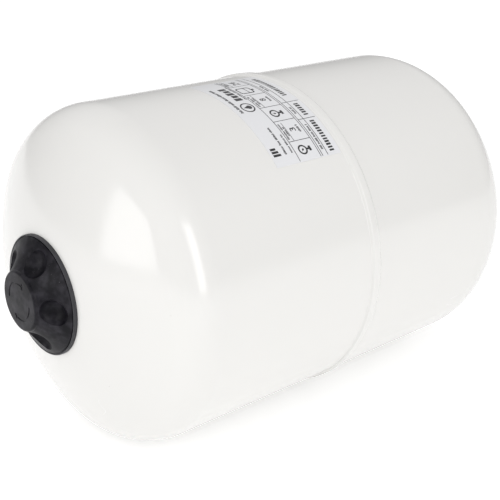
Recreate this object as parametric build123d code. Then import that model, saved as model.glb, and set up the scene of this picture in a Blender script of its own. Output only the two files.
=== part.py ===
from build123d import *
import os
from math import atan2, cos, degrees, radians, sin, sqrt

# Expansion vessel for drinking and heating water, 24 litres, with a bag membrane.
# It lies on its side: +X runs along its axis, out of the water connection, and +Z is up.
# The origin is on the axis, half way along the thread of the water connection.
# Sizes are in millimetres. A "depth" is measured from the crown of the air head into the vessel.

# Shells
vessel_diameter = 280.0
shell_length = 451.5
sheet = 1.5
crown_radius = 224.0
knuckle_radius = 43.0
lip_depth = 233.6
lap_length = 5.4
flare_length = 4.0
lap_clearance = 0.6
lip_round = 0.7
seam_bead_width = 3.0
seam_bead_crown = 0.25
weld_gap = 0.1
cut_overrun = 1.0

# Water end: neck, clamped bag, counter flange, connection
thread_radius = 13.22
thread_length = 18.0
nipple_neck = 14.0
nipple_neck_radius = 12.4
nipple_bore_radius = 9.5
nipple_bevel = 1.2
nipple_bead_leg = 3.0
flange_edge_margin = 12.0
flange_thickness = 4.0
ring_thickness = 8.0
ring_stand_off = 5.0
neck_radius = 52.0
neck_bore_radius = 46.0
neck_inside = 4.0
neck_bead_leg = 4.5
bolt_count = 6
bolt_circle_margin = 10.0
bolt_radius = 4.0
bolt_across_flats = 13.0
bolt_head = 5.3
bolt_end = 3.0
bolt_hole_clearance = 0.5
bolt_thread_clearance = 0.05
washer_width = 3.2
washer_thickness = 2.0
washer_slit = 1.2
washer_slit_lean = 30.0

# Bag membrane
collar_radius = 55.0
collar_thickness = 3.0
bag_wall = 2.5
bag_neck_clearance = 1.5
bag_neck_length = 42.0
bag_shoulder = 62.0
bag_side_gap = 20.0
bag_end_gap = 26.0

# Air valve boss, standing out of the air head
boss_radius = 17.0
boss_height = 11.4
boss_depth = 11.0
boss_recess_radius = 12.5
boss_recess_depth = 6.0
boss_bead_leg = 2.5
boss_pitch = 2.0

# Air valve, in the boss
stem_radius = 3.85
stem_mouth_height = 4.1
stem_bore_radius = 2.6
stem_bore_depth = 8.0
stem_outlet_radius = 1.6
stem_across_flats = 14.0
stem_hex_height = 2.0
stem_root_radius = 5.0
stem_root_end = 3.0
stem_seal_radius = 7.0
stem_seal_thickness = 1.0

# Valve core
core_clearance = 0.1
core_top_below_mouth = 0.7
core_length = 7.0
core_chamber_radius = 1.7
core_floor = 1.2
core_seal_length = 1.2
core_seal_from_top = 3.6
core_seal_depth = 0.4
pin_radius = 0.65
pin_clearance = 0.1
pin_below_mouth = 0.2
pin_tail = 0.5
pin_collar_radius = 1.5
pin_collar_length = 0.7
pin_collar_from_top = 2.3
pin_travel = 1.2
disc_radius = 2.1
disc_thickness = 1.1
disc_gap = 0.05
spring_wire_radius = 0.15
spring_radius = 1.2
spring_turns = 5
spring_end_gap = 0.05

# Dust cap on the valve
dust_cap_radius = 5.5
dust_cap_length = 9.1
dust_cap_roof = 1.15
dust_cap_clearance = 0.08
dust_cap_ribs = 20
dust_rib_radius = 0.35
dust_rib_margin = 1.5
dust_seal_thickness = 1.15
dust_seal_gap = 0.05
dust_seal_side_gap = 0.33

# Protective cap over the boss, with its rim ring and its thread washer
rim_radius = 48.4
rim_lip_width = 1.2
rim_groove = 0.5
rim_lip_height = 3.3
rim_seat = 2.2
rim_inner_radius = 42.6
cap_skirt_height = 3.5
cap_face_height = 16.2
cap_face_radius = 24.5
cap_face_round = 2.4
cap_brow_drop = 0.48
cap_brow_in = 0.72
cap_skirt_hollow = 1.1
cap_wall = 2.2
cap_roof = 2.8
cap_foot_width = 3.1
cap_collar_wall = 2.9
cap_thread_clearance = 0.08
cap_collar_gap = 2.6
cap_seat_gap = 0.1
cap_washer_gap = 0.1
cap_washer_side_gap = 0.28
finger_count = 5
finger_radius = 12.4
finger_lift = 5.6
finger_shift = 1.6
finger_wall = 1.0
finger_first_angle = 69.5
arrow_radius = 15.0
arrow_width = 1.6
arrow_depth = 0.4
arrow_sweep = 110.0
arrow_head = 4.2
arrow_head_half = 3.15

# Rating label, on the air shell, towards the top of the -Y side
label_width = 120.0
label_height = 69.0
label_from_flare = 0.5
label_thickness = 0.2
label_lower_edge_angle = 42.8

# Places along the axis, from the water connection to the cap
shell_radius = vessel_diameter / 2
lap_step = sheet + lap_clearance
nipple_end_x = thread_length / 2
flange_face_x = -thread_length / 2 - nipple_neck
flange_back_x = flange_face_x - flange_thickness
collar_x = flange_back_x - collar_thickness
ring_back_x = collar_x - ring_thickness
water_apex_x = ring_back_x - ring_stand_off
air_apex_x = water_apex_x - shell_length
lip_x = air_apex_x + lip_depth
flare_end_x = lip_x - lap_length
flare_start_x = flare_end_x - flare_length
boss_top_x = air_apex_x - boss_height
recess_floor_x = air_apex_x + boss_recess_depth
boss_end_x = air_apex_x + boss_depth
mouth_x = air_apex_x - stem_mouth_height
core_top_x = mouth_x + core_top_below_mouth
core_end_x = core_top_x + core_length
core_floor_x = core_end_x - core_floor
core_seal_x = core_top_x + core_seal_from_top
pin_top_x = mouth_x + pin_below_mouth
pin_collar_x = pin_top_x + pin_collar_from_top
pin_collar_end_x = pin_collar_x + pin_collar_length
disc_x = core_end_x + disc_gap
dust_seal_x = mouth_x - 2 * dust_seal_gap - dust_seal_thickness
cap_face_x = air_apex_x - cap_face_height
cap_roof_x = cap_face_x + cap_roof

# Radii that follow from others
bolt_circle_radius = neck_radius + bolt_circle_margin
flange_radius = bolt_circle_radius + flange_edge_margin
core_radius = stem_bore_radius - core_clearance
core_groove_radius = core_radius - core_seal_depth
dust_bore_radius = stem_radius + dust_cap_clearance
cap_bore_radius = boss_radius + cap_thread_clearance
cap_edge_radius = rim_radius - rim_lip_width - rim_groove


def solid_of(edges):
    """Full turn about X of the closed outline that the edges make."""
    return revolve(make_face(edges), Axis.X)


def turned(*corners):
    """Full turn about X of a polygon given as (x, radius) corners."""
    return solid_of(Polyline(*corners, close=True))


def tube(start, end, inner, outer):
    """Plain ring about X."""
    return turned((start, inner), (end, inner), (end, outer), (start, outer))


def rod(start, end, radius):
    """Plain round bar about X."""
    return turned((start, 0), (end, 0), (end, radius), (start, radius))


def hexagon(start, end, across_flats):
    """Hexagonal bar about X."""
    outline = Plane.YZ.offset(start) * RegularPolygon(across_flats / 2, 6, major_radius=False)
    return extrude(outline, end - start)


def crown_point(apex, outward, crown, radius):
    """Point on a head's crown at a radius from the axis."""
    return (apex - outward * (crown - sqrt(crown**2 - radius**2)), radius)


def crown_arc(apex, outward, crown, inner, outer):
    """Arc on a head's crown between two radii."""
    middle = (inner + outer) / 2
    return ThreePointArc(*(crown_point(apex, outward, crown, r) for r in (inner, middle, outer)))


def head_edges(apex, outward, radius, crown, knuckle, hole):
    """A dished head from its hole to the cylinder, with the end of its knuckle."""
    reach = sqrt((crown - knuckle) ** 2 - (radius - knuckle) ** 2)
    knuckle_x = apex - outward * (crown - reach)
    share = crown / (crown - knuckle)
    join_radius = (radius - knuckle) * share
    half_turn = atan2(reach, radius - knuckle) / 2
    middle = (
        knuckle_x + outward * knuckle * sin(half_turn),
        radius - knuckle + knuckle * cos(half_turn),
    )
    end = (knuckle_x, radius)
    bend = ThreePointArc(crown_point(apex, outward, crown, join_radius), middle, end)
    return [crown_arc(apex, outward, crown, hole, join_radius), bend], end


def flare(rise):
    """The air shell's wall from the cylinder over the flare, raised from the vessel's radius."""
    low = shell_radius + rise
    high = low + lap_step
    half = flare_length / 2
    return Bezier(
        (flare_start_x, low), (flare_start_x + half, low), (flare_end_x - half, high), (flare_end_x, high)
    )


def air_shell():
    """Cap-side half: dished head, cylinder, and the flared lip that laps the other half."""
    hole = boss_radius + weld_gap
    outer, outer_end = head_edges(air_apex_x, -1, shell_radius, crown_radius, knuckle_radius, hole)
    inner, inner_end = head_edges(
        air_apex_x + sheet, -1, shell_radius - sheet, crown_radius - sheet, knuckle_radius - sheet, hole
    )
    top = shell_radius + lap_step
    turn = lip_round * (1 - cos(radians(45)))
    tail = [
        Line(outer_end, (flare_start_x, shell_radius)),
        flare(0),
        Line((flare_end_x, top), (lip_x - lip_round, top)),
        ThreePointArc((lip_x - lip_round, top), (lip_x - turn, top - turn), (lip_x, top - lip_round)),
        Line((lip_x, top - lip_round), (lip_x, top - sheet)),
        Line((lip_x, top - sheet), (flare_end_x, top - sheet)),
        flare(-sheet),
        Line((flare_start_x, shell_radius - sheet), inner_end),
    ]
    return solid_of(outer + tail + inner + [Line(outer[0] @ 0, inner[0] @ 0)])


def water_shell():
    """Connection-side half, whose plain edge stands in the other half's lip."""
    hole = neck_radius + weld_gap
    outer, outer_end = head_edges(water_apex_x, 1, shell_radius, crown_radius, knuckle_radius, hole)
    inner, inner_end = head_edges(
        water_apex_x - sheet, 1, shell_radius - sheet, crown_radius - sheet, knuckle_radius - sheet, hole
    )
    edge_outer = (flare_end_x, shell_radius)
    edge_inner = (flare_end_x, shell_radius - sheet)
    tail = [Line(outer_end, edge_outer), Line(edge_outer, edge_inner), Line(edge_inner, inner_end)]
    return solid_of(outer + tail + inner + [Line(outer[0] @ 0, inner[0] @ 0)])


def seam_weld():
    """Round-the-vessel weld that closes the lap, from the lip down to the water shell."""
    top = (lip_x, shell_radius + lap_step - lip_round)
    toe = (lip_x + seam_bead_width, shell_radius)
    middle = ((top[0] + toe[0]) / 2, (top[1] + toe[1]) / 2 + seam_bead_crown)
    foot = (lip_x, shell_radius)
    return solid_of([ThreePointArc(top, middle, toe), Line(toe, foot), Line(foot, top)])


def corner_bead(apex, outward, radius, leg):
    """Fillet weld in the corner between a head's crown and a tube standing out of it."""
    low = crown_point(apex, outward, crown_radius, radius)
    out = crown_point(apex, outward, crown_radius, radius + leg)
    high = (low[0] + outward * leg, radius)
    arc = crown_arc(apex, outward, crown_radius, radius, radius + leg)
    return solid_of([arc, Line(out, high), Line(high, low)])


def around(count, radius, solid):
    """Copies of a solid, evenly turned about X, each moved out to a radius."""
    return [Rot(X=360 / count * i) * Pos(Y=radius) * solid for i in range(count)]


def neck_ring():
    """Flanged neck, welded into the water head, with tapped holes for the flange bolts."""
    inner_x = crown_point(water_apex_x, 1, crown_radius, neck_radius)[0] - sheet - neck_inside
    body = turned(
        (inner_x, neck_bore_radius),
        (collar_x, neck_bore_radius),
        (collar_x, flange_radius),
        (ring_back_x, flange_radius),
        (ring_back_x, neck_radius),
        (inner_x, neck_radius),
    )
    hole = rod(ring_back_x - cut_overrun, collar_x + cut_overrun, bolt_radius + bolt_thread_clearance)
    return body - around(bolt_count, bolt_circle_radius, hole)


def counter_flange():
    """Flat flange that clamps the bag's collar and carries the water connection."""
    body = tube(flange_back_x, flange_face_x, nipple_neck_radius + weld_gap, flange_radius)
    hole = rod(flange_back_x - cut_overrun, flange_face_x + cut_overrun, bolt_radius + bolt_hole_clearance)
    return body - around(bolt_count, bolt_circle_radius, hole)


def connection_nipple():
    """Three-quarter inch male pipe nipple, its narrower neck welded through the counter flange."""
    return turned(
        (flange_back_x, nipple_bore_radius),
        (nipple_end_x + nipple_bevel, nipple_bore_radius),
        (nipple_end_x + nipple_bevel, thread_radius - nipple_bevel),
        (nipple_end_x, thread_radius),
        (-thread_length / 2, thread_radius),
        (-thread_length / 2 - thread_radius + nipple_neck_radius, nipple_neck_radius),
        (flange_back_x, nipple_neck_radius),
    )


def nipple_weld():
    """Fillet weld between the nipple and the counter flange."""
    return turned(
        (flange_face_x, nipple_neck_radius),
        (flange_face_x + nipple_bead_leg, nipple_neck_radius),
        (flange_face_x, nipple_neck_radius + nipple_bead_leg),
    )


def flange_bolts():
    """Hexagon bolts through the counter flange into the neck ring."""
    head_x = flange_face_x + washer_thickness
    shank = rod(ring_back_x - bolt_end, head_x, bolt_radius)
    head = hexagon(head_x, head_x + bolt_head, bolt_across_flats)
    return around(bolt_count, bolt_circle_radius, shank + head)


def spring_washers():
    """Split washers under the bolt heads."""
    inner = bolt_radius + bolt_hole_clearance / 2
    outer = inner + washer_width
    ring = tube(flange_face_x, flange_face_x + washer_thickness, inner, outer)
    slit = Rot(Y=washer_slit_lean) * Box(3 * washer_thickness, 2 * outer, washer_slit)
    slit = Pos(flange_face_x + washer_thickness / 2, outer) * slit
    return around(bolt_count, bolt_circle_radius, ring - slit)


def bladder():
    """Butyl rubber bag whose collar is clamped between the neck ring and the counter flange."""
    neck = neck_bore_radius - bag_neck_clearance
    body = shell_radius - sheet - bag_side_gap
    shoulder_x = collar_x - bag_neck_length
    body_x = shoulder_x - bag_shoulder
    end_x = air_apex_x + sheet + bag_end_gap
    half = bag_shoulder / 2

    def skin(inset):
        """Bag surface from the end of its neck to the far pole, inset by a wall."""
        narrow, wide, pole = neck - inset, body - inset, end_x + inset
        round_x = pole + wide
        lean = wide * cos(radians(45))
        shoulder = Bezier(
            (shoulder_x, narrow), (shoulder_x - half, narrow), (body_x + half, wide), (body_x, wide)
        )
        far = ThreePointArc((round_x, wide), (round_x - lean, lean), (pole, 0))
        return [shoulder, Line((body_x, wide), (round_x, wide)), far]

    top_x = collar_x + collar_thickness
    rim = Polyline(
        (shoulder_x, neck),
        (collar_x, neck),
        (collar_x, collar_radius),
        (top_x, collar_radius),
        (top_x, neck - bag_wall),
        (shoulder_x, neck - bag_wall),
    )
    axis_line = Line((end_x, 0), (end_x + bag_wall, 0))
    return solid_of(skin(0) + skin(bag_wall) + [rim, axis_line])


def rating_label():
    """Thin printed label on the air shell's cylinder, up to the flare."""
    end_x = flare_start_x - label_from_flare
    start_x = end_x - label_height
    top = shell_radius + label_thickness
    corners = ((start_x, shell_radius), (end_x, shell_radius), (end_x, top), (start_x, top))
    span = degrees(label_width / shell_radius)
    film = revolve(make_face(Polyline(*corners, close=True)), Axis.X, span)
    return Rot(X=180 - label_lower_edge_angle - span) * film


def valve_boss():
    """Threaded socket welded into the air head: the protective cap screws on it."""
    return turned(
        (boss_top_x, boss_recess_radius),
        (recess_floor_x, boss_recess_radius),
        (recess_floor_x, stem_root_radius + weld_gap),
        (boss_end_x, stem_root_radius + weld_gap),
        (boss_end_x, boss_radius),
        (boss_top_x, boss_radius),
    )


def valve_stem():
    """Brass tank valve, screwed through the floor of the boss."""
    hex_end_x = recess_floor_x - stem_seal_thickness
    hex_start_x = hex_end_x - stem_hex_height
    root_x = boss_end_x + stem_root_end
    body = rod(mouth_x, hex_start_x, stem_radius) + rod(hex_end_x, root_x, stem_root_radius)
    body += hexagon(hex_start_x, hex_end_x, stem_across_flats)
    body -= rod(mouth_x - cut_overrun, air_apex_x + stem_bore_depth, stem_bore_radius)
    return body - rod(mouth_x, root_x + cut_overrun, stem_outlet_radius)


def valve_stem_seal():
    """Sealing ring under the valve's hexagon."""
    start_x = recess_floor_x - stem_seal_thickness
    return tube(start_x, recess_floor_x, stem_root_radius + weld_gap, stem_seal_radius)


def core_barrel():
    """Brass barrel of the valve core, with the spring's chamber and a groove for its seal."""
    return turned(
        (core_top_x, core_chamber_radius),
        (core_floor_x, core_chamber_radius),
        (core_floor_x, pin_radius + pin_clearance),
        (core_end_x, pin_radius + pin_clearance),
        (core_end_x, core_radius),
        (core_seal_x + core_seal_length, core_radius),
        (core_seal_x + core_seal_length, core_groove_radius),
        (core_seal_x, core_groove_radius),
        (core_seal_x, core_radius),
        (core_top_x, core_radius),
    )


def core_seal():
    """Sealing sleeve in the barrel's groove, pressed out to the valve's bore."""
    return tube(core_seal_x, core_seal_x + core_seal_length, core_groove_radius, stem_bore_radius)


def core_pin():
    """Pin that a pump's chuck pushes in to open the valve."""
    end_x = disc_x + disc_thickness + pin_tail
    return turned(
        (pin_top_x, 0),
        (end_x, 0),
        (end_x, pin_radius),
        (pin_collar_end_x, pin_radius),
        (pin_collar_end_x, pin_collar_radius),
        (pin_collar_x, pin_collar_radius),
        (pin_collar_x, pin_radius),
        (pin_top_x, pin_radius),
    )


def core_disc():
    """Rubber disc on the pin, which closes the barrel from inside."""
    return tube(disc_x, disc_x + disc_thickness, pin_radius, disc_radius)


def core_spring():
    """Coil spring in the barrel that pushes the pin out and holds the disc shut."""
    start_x = pin_collar_end_x + spring_end_gap + spring_wire_radius
    length = core_floor_x - spring_end_gap - spring_wire_radius - start_x
    path = Helix(length / spring_turns, length, spring_radius)
    wire = Plane(path @ 0, z_dir=path % 0) * Circle(spring_wire_radius)
    return Pos(X=start_x) * Rot(Y=90) * sweep(wire, path)


def dust_cap():
    """Small ribbed cap screwed on the valve's mouth."""
    top_x = dust_seal_x - dust_cap_roof
    end_x = top_x + dust_cap_length
    body = rod(top_x, end_x, dust_cap_radius) - rod(dust_seal_x, end_x + cut_overrun, dust_bore_radius)
    flute = rod(top_x - cut_overrun, end_x - dust_rib_margin, dust_rib_radius)
    return body - around(dust_cap_ribs, dust_cap_radius, flute)


def dust_cap_seal():
    """Rubber pad in the dust cap, pressed on the valve's mouth."""
    end_x = dust_seal_x + dust_seal_gap + dust_seal_thickness
    return rod(dust_seal_x + dust_seal_gap, end_x, dust_bore_radius - dust_seal_side_gap)


def rim_foot():
    """Where the rim ring's outside and the cap's foot stand on the air head: an x on the crown."""
    return crown_point(air_apex_x, -1, crown_radius, rim_radius)[0]


def rim_ring():
    """Rubber ring round the protective cap's foot, lying on the air head."""
    seat_x = rim_foot() - rim_seat
    half = rim_lip_width / 2
    round_x = rim_foot() - rim_lip_height + half
    lip_inner = rim_radius - rim_lip_width
    return solid_of(
        [
            crown_arc(air_apex_x, -1, crown_radius, rim_inner_radius, rim_radius),
            Line((rim_foot(), rim_radius), (round_x, rim_radius)),
            ThreePointArc(
                (round_x, rim_radius), (round_x - half, rim_radius - half), (round_x, lip_inner)
            ),
            Line((round_x, lip_inner), (seat_x, lip_inner)),
            Line((seat_x, lip_inner), (seat_x, rim_inner_radius)),
            Line((seat_x, rim_inner_radius), crown_point(air_apex_x, -1, crown_radius, rim_inner_radius)),
        ]
    )


def skirt_normal(start, end):
    """Unit vector out of the skirt, square to the line between two (x, radius) points."""
    chord = sqrt((end[0] - start[0]) ** 2 + (end[1] - start[1]) ** 2)
    return ((start[1] - end[1]) / chord, (end[0] - start[0]) / chord)


def skirt_middle(start, end):
    """Middle of the slightly hollow skirt between two (x, radius) points."""
    out = skirt_normal(start, end)
    return (
        (start[0] + end[0]) / 2 - out[0] * cap_skirt_hollow,
        (start[1] + end[1]) / 2 - out[1] * cap_skirt_hollow,
    )


def turn_arrow():
    """One curved arrow for the cap's face, in the face's own plane."""
    shaft = SlotArc(CenterArc((0, 0), arrow_radius, 0, arrow_sweep), arrow_width)
    point = Polyline((0, arrow_head), (-arrow_head_half, 0), (arrow_head_half, 0), close=True)
    head = Rot(Z=arrow_sweep) * Pos(X=arrow_radius) * make_face(point)
    return shaft + head


def protective_cap():
    """Black screw cap over the air valve, with hollows for the fingers round its skirt."""
    foot_x = rim_foot() - rim_seat - cap_seat_gap
    edge = (rim_foot() - cap_skirt_height, cap_edge_radius)
    shoulder = (cap_face_x + cap_face_round, cap_face_radius)
    brow = (cap_face_x + cap_brow_drop, cap_face_radius - cap_brow_in)
    face_edge = (cap_face_x, cap_face_radius - cap_face_round)
    out = skirt_normal(shoulder, edge)
    outside = solid_of(
        [
            Line((foot_x, 0), (cap_face_x, 0)),
            Line((cap_face_x, 0), face_edge),
            ThreePointArc(face_edge, brow, shoulder),
            ThreePointArc(shoulder, skirt_middle(shoulder, edge), edge),
            Line(edge, (foot_x, cap_edge_radius)),
            Line((foot_x, cap_edge_radius), (foot_x, 0)),
        ]
    )
    inner_edge = (edge[0] + cap_wall, cap_edge_radius - cap_foot_width)
    inner_shoulder = (shoulder[0] - out[0] * cap_wall, shoulder[1] - out[1] * cap_wall)
    roof_edge = (cap_roof_x, inner_shoulder[1] - cap_face_round)
    end_x = inner_edge[0] + cut_overrun
    inside = solid_of(
        [
            Line((end_x, 0), (cap_roof_x, 0)),
            Line((cap_roof_x, 0), roof_edge),
            Line(roof_edge, inner_shoulder),
            ThreePointArc(inner_shoulder, skirt_middle(inner_shoulder, inner_edge), inner_edge),
            Line(inner_edge, (end_x, inner_edge[1])),
            Line((end_x, inner_edge[1]), (end_x, 0)),
        ]
    )
    middle = skirt_middle(shoulder, edge)
    centre = (
        middle[0] + out[0] * finger_lift - out[1] * finger_shift,
        middle[1] + out[1] * finger_lift + out[0] * finger_shift,
    )

    def fingers(radius):
        """Balls at the finger places, the first at its angle above horizontal on the -Y side."""
        ball = Pos(centre[0], centre[1]) * Sphere(radius)
        step = 360 / finger_count
        return [Rot(X=180 - finger_first_angle - step * i) * ball for i in range(finger_count)]

    collar_end_x = air_apex_x - cap_collar_gap
    collar = tube(cap_roof_x, collar_end_x, cap_bore_radius, cap_bore_radius + cap_collar_wall)
    shell = outside - (inside - fingers(finger_radius + finger_wall)) + collar - fingers(finger_radius)
    face = Plane((cap_face_x, 0, 0), x_dir=(0, 1, 0), z_dir=(-1, 0, 0))
    arrows = face * (turn_arrow() + Rot(Z=180) * turn_arrow())
    return shell - extrude(arrows, -arrow_depth)


def cap_washer():
    """Sealing washer between the boss and the protective cap's roof."""
    outer = cap_bore_radius - cap_washer_side_gap
    return tube(cap_roof_x + cap_washer_gap, boss_top_x - cap_washer_gap, boss_recess_radius, outer)


parts = {
    "air_shell": air_shell(),
    "water_shell": water_shell(),
    "seam_weld": seam_weld(),
    "neck_ring": neck_ring(),
    "neck_weld": corner_bead(water_apex_x, 1, neck_radius, neck_bead_leg),
    "counter_flange": counter_flange(),
    "connection_nipple": connection_nipple(),
    "nipple_weld": nipple_weld(),
    "flange_bolts": flange_bolts(),
    "spring_washers": spring_washers(),
    "bladder": bladder(),
    "rating_label": rating_label(),
    "valve_boss": valve_boss(),
    "boss_weld": corner_bead(air_apex_x, -1, boss_radius, boss_bead_leg),
    "valve_stem": valve_stem(),
    "valve_stem_seal": valve_stem_seal(),
    "core_barrel": core_barrel(),
    "core_seal": core_seal(),
    "core_pin": core_pin(),
    "core_disc": core_disc(),
    "core_spring": core_spring(),
    "dust_cap": dust_cap(),
    "dust_cap_seal": dust_cap_seal(),
    "rim_ring": rim_ring(),
    "cap_washer": cap_washer(),
    "protective_cap": protective_cap(),
}

os.makedirs("parts", exist_ok=True)
for name, shape in parts.items():
    solid = Compound(children=shape) if isinstance(shape, list) else shape
    export_step(solid, f"parts/{name}.step")
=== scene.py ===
"""Looks of an expansion vessel: its painted shells, rating label, screw cap, valve and flanged connection.

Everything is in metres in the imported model's frame: the vessel lies along X with its cap at -X, +Z is up,
and the origin is on the axis, half way along the thread of the water connection.
"""

import logging
import math
import random
from dataclasses import dataclass, field
from enum import Enum
from itertools import pairwise
from typing import Sequence

import bpy
from mathutils import Matrix, Vector


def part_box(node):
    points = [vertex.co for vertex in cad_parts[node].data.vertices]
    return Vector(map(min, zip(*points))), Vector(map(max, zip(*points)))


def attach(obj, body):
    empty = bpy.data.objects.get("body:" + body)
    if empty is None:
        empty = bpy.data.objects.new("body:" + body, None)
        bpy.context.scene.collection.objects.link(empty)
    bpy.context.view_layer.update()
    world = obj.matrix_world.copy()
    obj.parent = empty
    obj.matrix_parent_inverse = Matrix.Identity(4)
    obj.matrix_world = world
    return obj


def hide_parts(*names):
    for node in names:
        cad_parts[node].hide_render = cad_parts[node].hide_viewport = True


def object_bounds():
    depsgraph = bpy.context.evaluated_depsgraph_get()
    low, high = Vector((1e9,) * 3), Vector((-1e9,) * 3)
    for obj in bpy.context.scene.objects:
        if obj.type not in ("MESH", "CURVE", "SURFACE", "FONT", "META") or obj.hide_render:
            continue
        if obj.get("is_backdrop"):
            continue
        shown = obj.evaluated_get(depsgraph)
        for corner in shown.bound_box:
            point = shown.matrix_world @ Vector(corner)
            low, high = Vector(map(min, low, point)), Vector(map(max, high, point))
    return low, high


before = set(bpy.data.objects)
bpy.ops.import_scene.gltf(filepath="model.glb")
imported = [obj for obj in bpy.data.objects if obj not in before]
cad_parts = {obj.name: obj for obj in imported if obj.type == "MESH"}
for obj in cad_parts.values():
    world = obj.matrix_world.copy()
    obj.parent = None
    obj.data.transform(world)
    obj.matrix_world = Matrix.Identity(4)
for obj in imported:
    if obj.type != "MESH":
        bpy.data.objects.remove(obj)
log = logging.getLogger("vessel")

MM = 0.001
X_AXIS = (1.0, 0.0, 0.0)
MERGE_GAP = 0.000002
THREAD_CLEARANCE = 0.08 * MM
NECK_WELD_LEG = 4.5 * MM

Point = tuple[float, float]
Colour = tuple[float, float, float, float]
Piece = bpy.types.Object


class Body(Enum):
    """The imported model's bodies that pieces ride on."""

    VESSEL = "vessel"
    DUST_CAP = "dust_cap"
    RIM = "rim_ring"
    CAP = "protective_cap"


class Slot(Enum):
    """The record's material slots, by name."""

    PAINT = "white_paint"
    WELD = "weld_paint"
    ZINC = "zinc_steel"
    BOLT = "bolt_steel"
    BRASS = "brass"
    BUTYL = "butyl"
    SEAL = "seal_rubber"
    CAP = "cap_plastic"
    DUST = "dust_plastic"
    FILM = "label_film"


def dimmed(colour: Colour, share: float) -> Colour:
    """A share of a colour's brightness, opaque."""
    return tuple(part * share for part in colour[:3]) + (1.0,)


# ---------------------------------------------------------------- shader nodes


class Wire:
    """One output of a shader node, which can be used in sums like a number."""

    def __init__(self, sheet: "Sheet", socket: bpy.types.NodeSocket) -> None:
        """Keeps the socket and the sheet it is on."""
        self.sheet = sheet
        self.socket = socket

    def _sum(self, operation: str, first: "Wire | float", second: "Wire | float") -> "Wire":
        """Adds a Math node for one operation on two values."""
        return self.sheet.node("Math", {"operation": operation}, {0: first, 1: second})

    def __add__(self, other: "Wire | float") -> "Wire":
        """This value plus another."""
        return self._sum("ADD", self, other)

    def __radd__(self, other: float) -> "Wire":
        """A number plus this value."""
        return self._sum("ADD", other, self)

    def __sub__(self, other: "Wire | float") -> "Wire":
        """This value less another."""
        return self._sum("SUBTRACT", self, other)

    def __rsub__(self, other: float) -> "Wire":
        """A number less this value."""
        return self._sum("SUBTRACT", other, self)

    def __mul__(self, other: "Wire | float") -> "Wire":
        """This value times another."""
        return self._sum("MULTIPLY", self, other)

    def __rmul__(self, other: float) -> "Wire":
        """A number times this value."""
        return self._sum("MULTIPLY", other, self)

    def __truediv__(self, other: "Wire | float") -> "Wire":
        """This value divided by another."""
        return self._sum("DIVIDE", self, other)

    def __pow__(self, other: "Wire | float") -> "Wire":
        """This value raised to a power."""
        return self._sum("POWER", self, other)

    def __gt__(self, other: "Wire | float") -> "Wire":
        """1 where this value is the greater one, else 0."""
        return self._sum("GREATER_THAN", self, other)

    def __lt__(self, other: "Wire | float") -> "Wire":
        """1 where this value is the smaller one, else 0."""
        return self._sum("LESS_THAN", self, other)

    def __abs__(self) -> "Wire":
        """This value without its sign."""
        return self._sum("ABSOLUTE", self, 0.0)


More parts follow.
